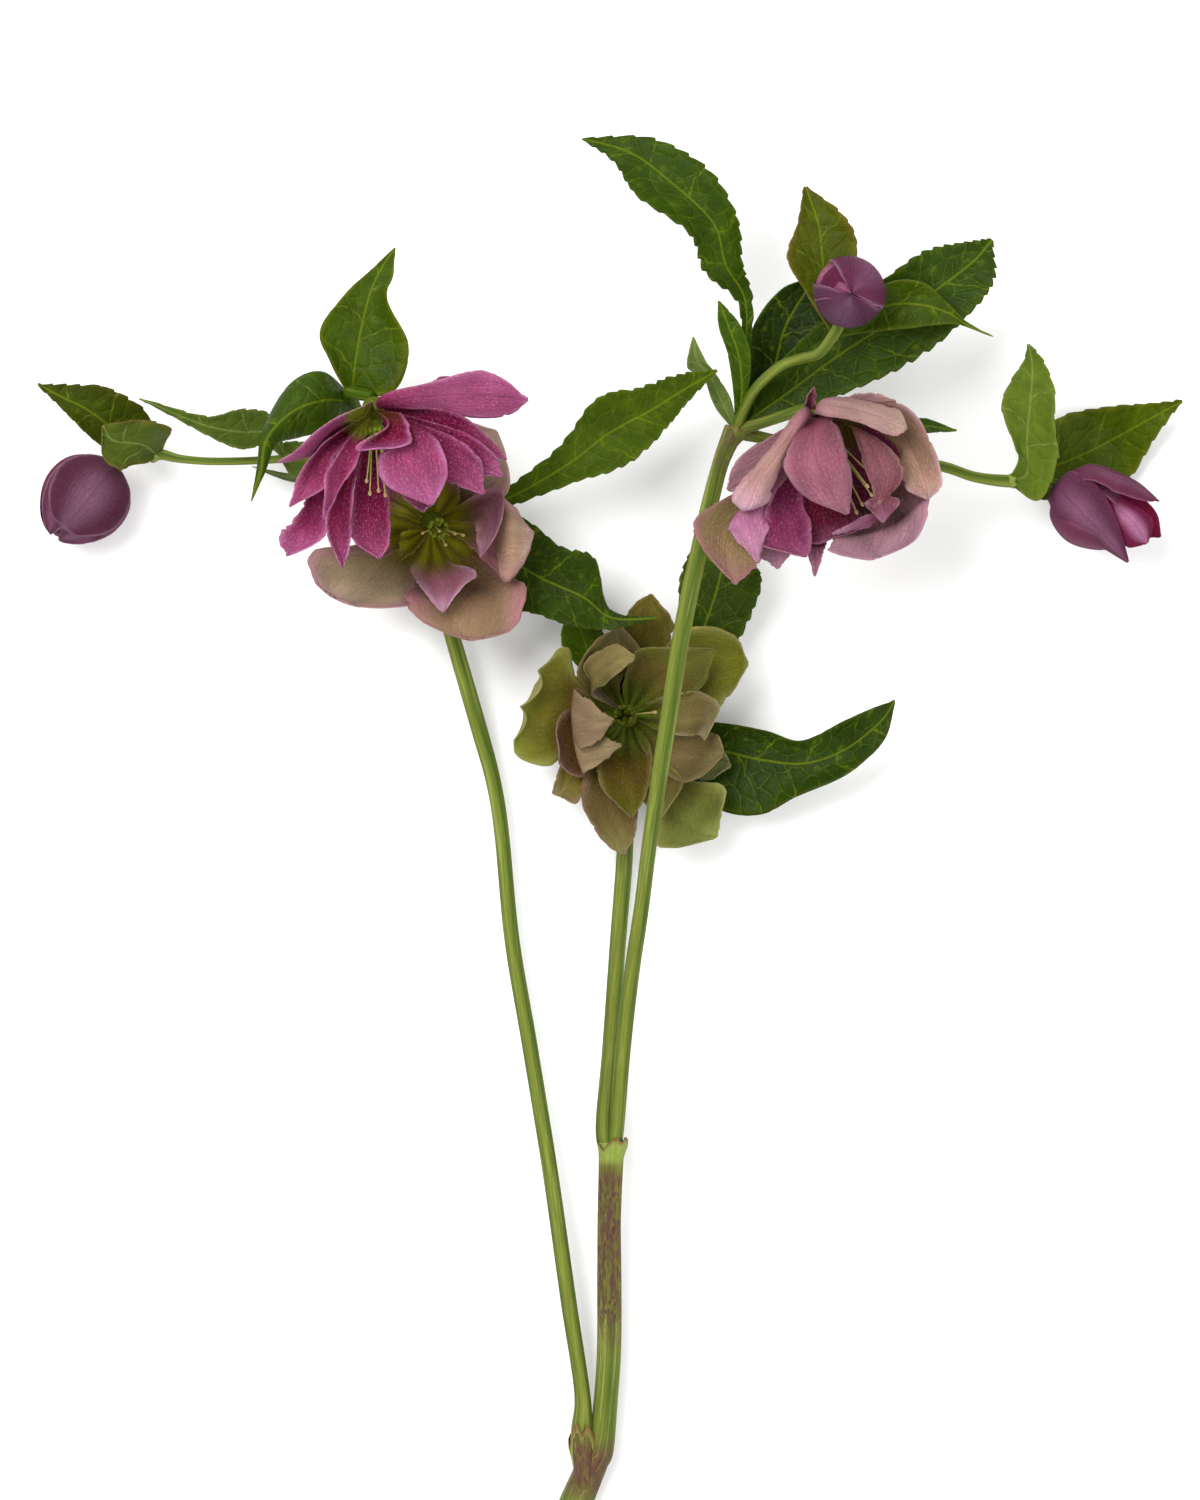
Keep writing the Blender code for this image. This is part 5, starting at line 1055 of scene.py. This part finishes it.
def make_leaf(name, index, mats):
    codes, ends, stations = LEAVES[name]
    foot, tip, (teeth, wave) = ends[:3], ends[3:6], ends[6:]
    length = np.linalg.norm(np.array(tip) - np.array(foot))
    piece = Piece("blade_" + name[5:])
    edge = toothed(teeth, max(5, length / 4.0), index) if teeth > 0.35 else ragged(0.25, index)
    add_blade(piece, foot, stations, tip, leaf_look(codes), int(min(110, 24 + length)), 26, edge,
              wave=wave, phase=0.9 * index)
    slot = "leaf_pale" if name in PALE_LEAVES else "leaf"
    piece.build(mats[slot], name)


def add_sepal(piece, egg, turn, width, end, lift, codes, seed, blunt, rows=44, cols=34):
    """A sepal wrapped on an egg (centre, half length, half width, axis). turn and width are degrees
    round the axis from the viewer's side, end is how far it reaches from the base to the tip."""
    centre, half, wide, axis = egg
    a = np.array(Vector(axis).normalized())
    u, v, sheet = grid(rows, cols)
    theta = math.pi * (1 - (0.02 + 0.98 * u) * end)
    spread = np.clip(1 - u ** blunt, 0, 1) ** 0.5 + 0.03 * wobble(u * 9 + v, seed)
    out = spokes(a, (0, 0, 1.0) - a * a[2], math.radians(turn) + math.radians(width) * spread * v)
    ridge = lift + 0.35 * np.abs(v) ** 6 + 0.3 * ease(u, 0.85, 1)
    ridge = (ridge + 0.12 * wobble(u * 6 + 2 * v, seed + 1))[:, None]
    along = np.cos(theta)[:, None]
    points = (np.array(centre) + a * along * (half + ridge)
              + out * np.sin(theta)[:, None] * (wide * (1 - 0.10 * along) + ridge))
    normal = grid_normals(points, rows, cols)
    if np.sum(normal * (points - np.array(centre)), axis=1).mean() > 0:
        sheet = sheet[:, ::-1]
    # Painted highlight: the lighter middle colour along the sepal's middle line.
    tint = sepal_tint(codes, ease(np.abs(v), 0.7, 0.0) * ease(u, 0.1, 0.5),
                      np.maximum(ease(np.abs(v), 0.9, 1.0), ease(u, 0.95, 1.0)))
    place = np.stack([v / 2 + 0.5, u], 1)
    skin = np.stack([v * math.radians(width) * wide / CM, u * end * math.pi * half / CM], 1)
    vein = 0.4 + 0.6 * ease(u, 0, 0.3)
    inner = np.array(centre) + (points - np.array(centre)) * 0.965
    piece.add_sheet(points, sheet, place, skin, tint, vein)
    piece.add_sheet(inner, sheet[:, ::-1], place, skin, tint * 0.8, vein)


def make_closed_bud(name, mat):
    centre, half, wide, axis = BUDS[name]
    piece = Piece("sepals_" + name)
    add_ball(piece, centre, axis, wide * 0.93, half * 0.95, rgb("#5a1c38"))
    for i, (turn, width, end, lift, codes, blunt) in enumerate(SEPALS[name]):
        add_sepal(piece, (centre, half - 0.4, wide - 0.4, axis), turn, width, end, lift, codes,
                  7 * i + len(name), blunt)
    piece.build(mat, name)


def make_open_bud(mat):
    base = Vector(BUD_RIGHT_BASE)
    axis = Vector(BUD_RIGHT_AXIS).normalized()
    side = Vector((-axis.y, axis.x, 0))
    up = Vector((0, 0, 1))
    piece = Piece("sepals_bud_right")
    add_ball(piece, base + axis * 3.0, axis, 3.6, 3.8, rgb("#5c5a20"))
    add_ball(piece, base + axis * 12.5, axis, 7.8, 11.3, rgb("#6a0c30"))

    def look_of(codes):
        def look(u, v, turned, points):
            # Painted highlight: the lighter middle colour along the sepal's middle line.
            colour = sepal_tint(codes, ease(np.abs(v), 0.7, 0.05) * ease(u, 0.15, 0.5),
                                ease(np.abs(v), 0.86, 1.0))
            return colour * (1.0 if turned == 0 else 0.85), ease(u, 0, 0.2)
        return look

    def ring(angle, along, radius):
        a = math.radians(angle)
        return base + axis * along + (side * math.cos(a) + up * math.sin(a)) * radius

    plain = look_of(("#703850", "#845068", "#985e78"))
    for i, (middle, spread, wide, long) in enumerate(HIDDEN_SEPALS):
        stations = [[*ring(middle + spread, far * long, wide * open_),
                     *ring(middle, far * long, wide * open_ * 1.04),
                     *ring(middle - spread, far * long, wide * open_)]
                    for far, open_ in ((0.12, 0.66), (0.40, 1.0), (0.72, 0.82))]
        add_blade(piece, base + axis * 0.8, stations, ring(middle, long, wide * 0.45), plain, 36, 24,
                  ragged(0.3, 40 + i), thick=0.8)
    for i, (codes, ends, stations) in enumerate(OPEN_SEPALS.values()):
        add_blade(piece, ends[3:], stations, ends[:3], look_of(codes), 50, 28, ragged(0.3, 60 + i),
                  wave=0.25, phase=1.1 * i)
    piece.build(mat, "bud_right")


def add_collar(piece, base, axis, low, high, tall, codes, seed, sides=48, rings=14):
    """A sheath round a joint: it flares to a thin, notched rim."""
    a = np.array(Vector(axis).normalized())
    t, angle, faces = grid(rings, sides, (0, 1), (0, 2 * math.pi))
    out = spokes(a, np.cross(a, (0.2, 0.1, 0.97)), angle)
    notch = 0.16 * np.sin(angle * 2 + seed) + 0.20 * np.clip(np.sin(angle * 5 + 2 * seed), 0, 1)
    foot, body, rim = (rgb(code) for code in codes)
    tint = blend(blend(foot, body, ease(t, 0.25, 0.75)), rim, ease(t, 0.78, 1.0))
    place = np.stack([angle / (2 * math.pi), t], 1)
    for shift, faces in ((0.0, faces), (-0.35, faces[:, ::-1])):
        wide = low + (high - low) * t ** 1.6 + shift
        points = np.array(base) + a * (tall * t * (1 - notch))[:, None] + out * wide[:, None]
        piece.add_sheet(points, faces, place, place * (2.4, tall / CM), tint, 0.5 * ease(t, 0.3, 0.0))


def stem_look(label, line):
    """Colour and specks of one run of the stem, from where its middle line passes."""
    green, pale, brown, leafy, flush, bare = (rgb(c) for c in (
        "#52661f", "#7a8434", "#6e6234", "#46620c", "#6a5236", "#8c9c46"))

    def look(t, angle):
        spot = through(line, t)
        y = spot[:, 1]
        low = ease(np.linalg.norm(spot[:, :2] - LOW_FORK, axis=1), 12, 5)
        high = ease(np.linalg.norm(spot[:, :2] - HIGH_FORK, axis=1), 9, 2)
        colour = blend(green, pale, 0.5 + 0.5 * np.sin(angle * 3 + t * 5))
        specks = np.zeros(len(t))
        if label == "main":
            colour = blend(colour, brown, ease(y, -158, -120) * 0.55)
            colour = blend(colour, bare, ease(y, -94, -91))
            specks = ease(y, -150, -132) * ease(y, -93, -98)
        if label in ("main", "left"):
            colour = blend(colour, flush, low * 0.75)
            specks = np.maximum(specks, 0.8 * low)
        if label == "left":
            colour = blend(colour, leafy, ease(y, 110, 116))
        if label == "middle":
            specks = 0.7 * ease(y, -14, 8)
        if label == "right":
            specks = 0.5 * ease(y, 92, 106)
        if label in ("right", "flower_4_stalk", "right_branch"):
            colour = blend(colour, brown, high * 0.6)
        return colour, specks
    return look


def make_stem(mat):
    piece = Piece("stems")
    for label, (_, _, rows) in STEMS.items():
        points = np.concatenate(rows).reshape(-1, 4)
        add_tube(piece, points, stem_look(label, points[:, :3]), 20, 14 * len(points),
                 squash=lambda t, angle: 1 + 0.03 * np.cos(5 * angle + 4 * t))
    for collar in COLLARS:
        add_collar(piece, *collar)
    piece.build(mat, "stem")


def add_stage():
    """The white floor just under the part, a white surround, two lamps and the camera. Lengths
    here are metres."""
    floor = bpy.data.meshes.new("floor")
    floor.from_pydata([(-3, -3, -0.0002), (3, -3, -0.0002), (3, 3, -0.0002), (-3, 3, -0.0002)], [],
                      [(0, 1, 2, 3)])
    floor.materials.append(Graph("floor_white", 0.95, specular=0.0).done((0.95, 0.95, 0.95, 1.0)))
    obj = add_object("floor", floor)
    world = bpy.data.worlds.new("studio")
    world.use_nodes = True
    sky = world.node_tree.nodes["Background"].inputs
    sky["Color"].default_value = (1, 1, 1, 1)
    sky["Strength"].default_value = 0.80
    bpy.context.scene.world = world
    for label, place, size, power in (("key", (-0.9, 0.9, 2.2), 1.4, 62.0),
                                      ("fill", (1.2, -0.8, 2.0), 1.8, 26.0)):
        light = bpy.data.lights.new(label, 'AREA')
        light.size = size
        light.energy = power
        lamp = add_object(label, light)
        lamp.location = place
        lamp.rotation_euler = (-Vector(place)).to_track_quat('-Z', 'Y').to_euler()
    camera = bpy.data.cameras.new("camera")
    camera.sensor_width = SENSOR
    camera.lens = SENSOR * (EYE[2] - EYE_PLANE) / EYE_SPAN
    camera.clip_start = 0.1
    camera.clip_end = 20.0
    eye = add_object("camera", camera)
    eye.location = [MM * part for part in EYE]
    bpy.context.scene.camera = eye
    bpy.context.scene.view_settings.view_transform = 'Standard'


def main():
    petals = {
        "bloom_1": petal_material("petal_magenta", (0.50, 0.12, 0.28), 0.75, 0.3, 8.0),
        "bloom_2": petal_material("petal_cream", (0.70, 0.50, 0.50), 0.5, 0.15, 7.0),
        "bloom_3": petal_material("petal_olive", (0.62, 0.54, 0.40), 0.4, 0.12, 7.0),
        "bloom_4": petal_material("petal_rose", (0.60, 0.32, 0.38), 0.7, 0.2, 7.5),
    }
    bud = petal_material("bud_sepal", (0.5, 0.25, 0.4), 0.7, 0.04, 7.0, ribs=21)
    leaves = {"leaf": leaf_material("leaf_green", rgb("#7c8e14"), 0.5, blotch=rgb("#50600c")),
              "leaf_pale": leaf_material("leaf_under", rgb("#8a9e54"), 0.45, gloss=0.55)}
    heart = soft_material("heart_green")
    for name in FLOWERS:
        make_bloom(name, petals[name])
        make_heart(name, heart)
    for index, name in enumerate(LEAVES):
        make_leaf(name, index, leaves)
    for name in BUDS:
        make_closed_bud(name, bud)
    make_open_bud(bud)
    make_stem(stem_material())
    add_stage()


main()
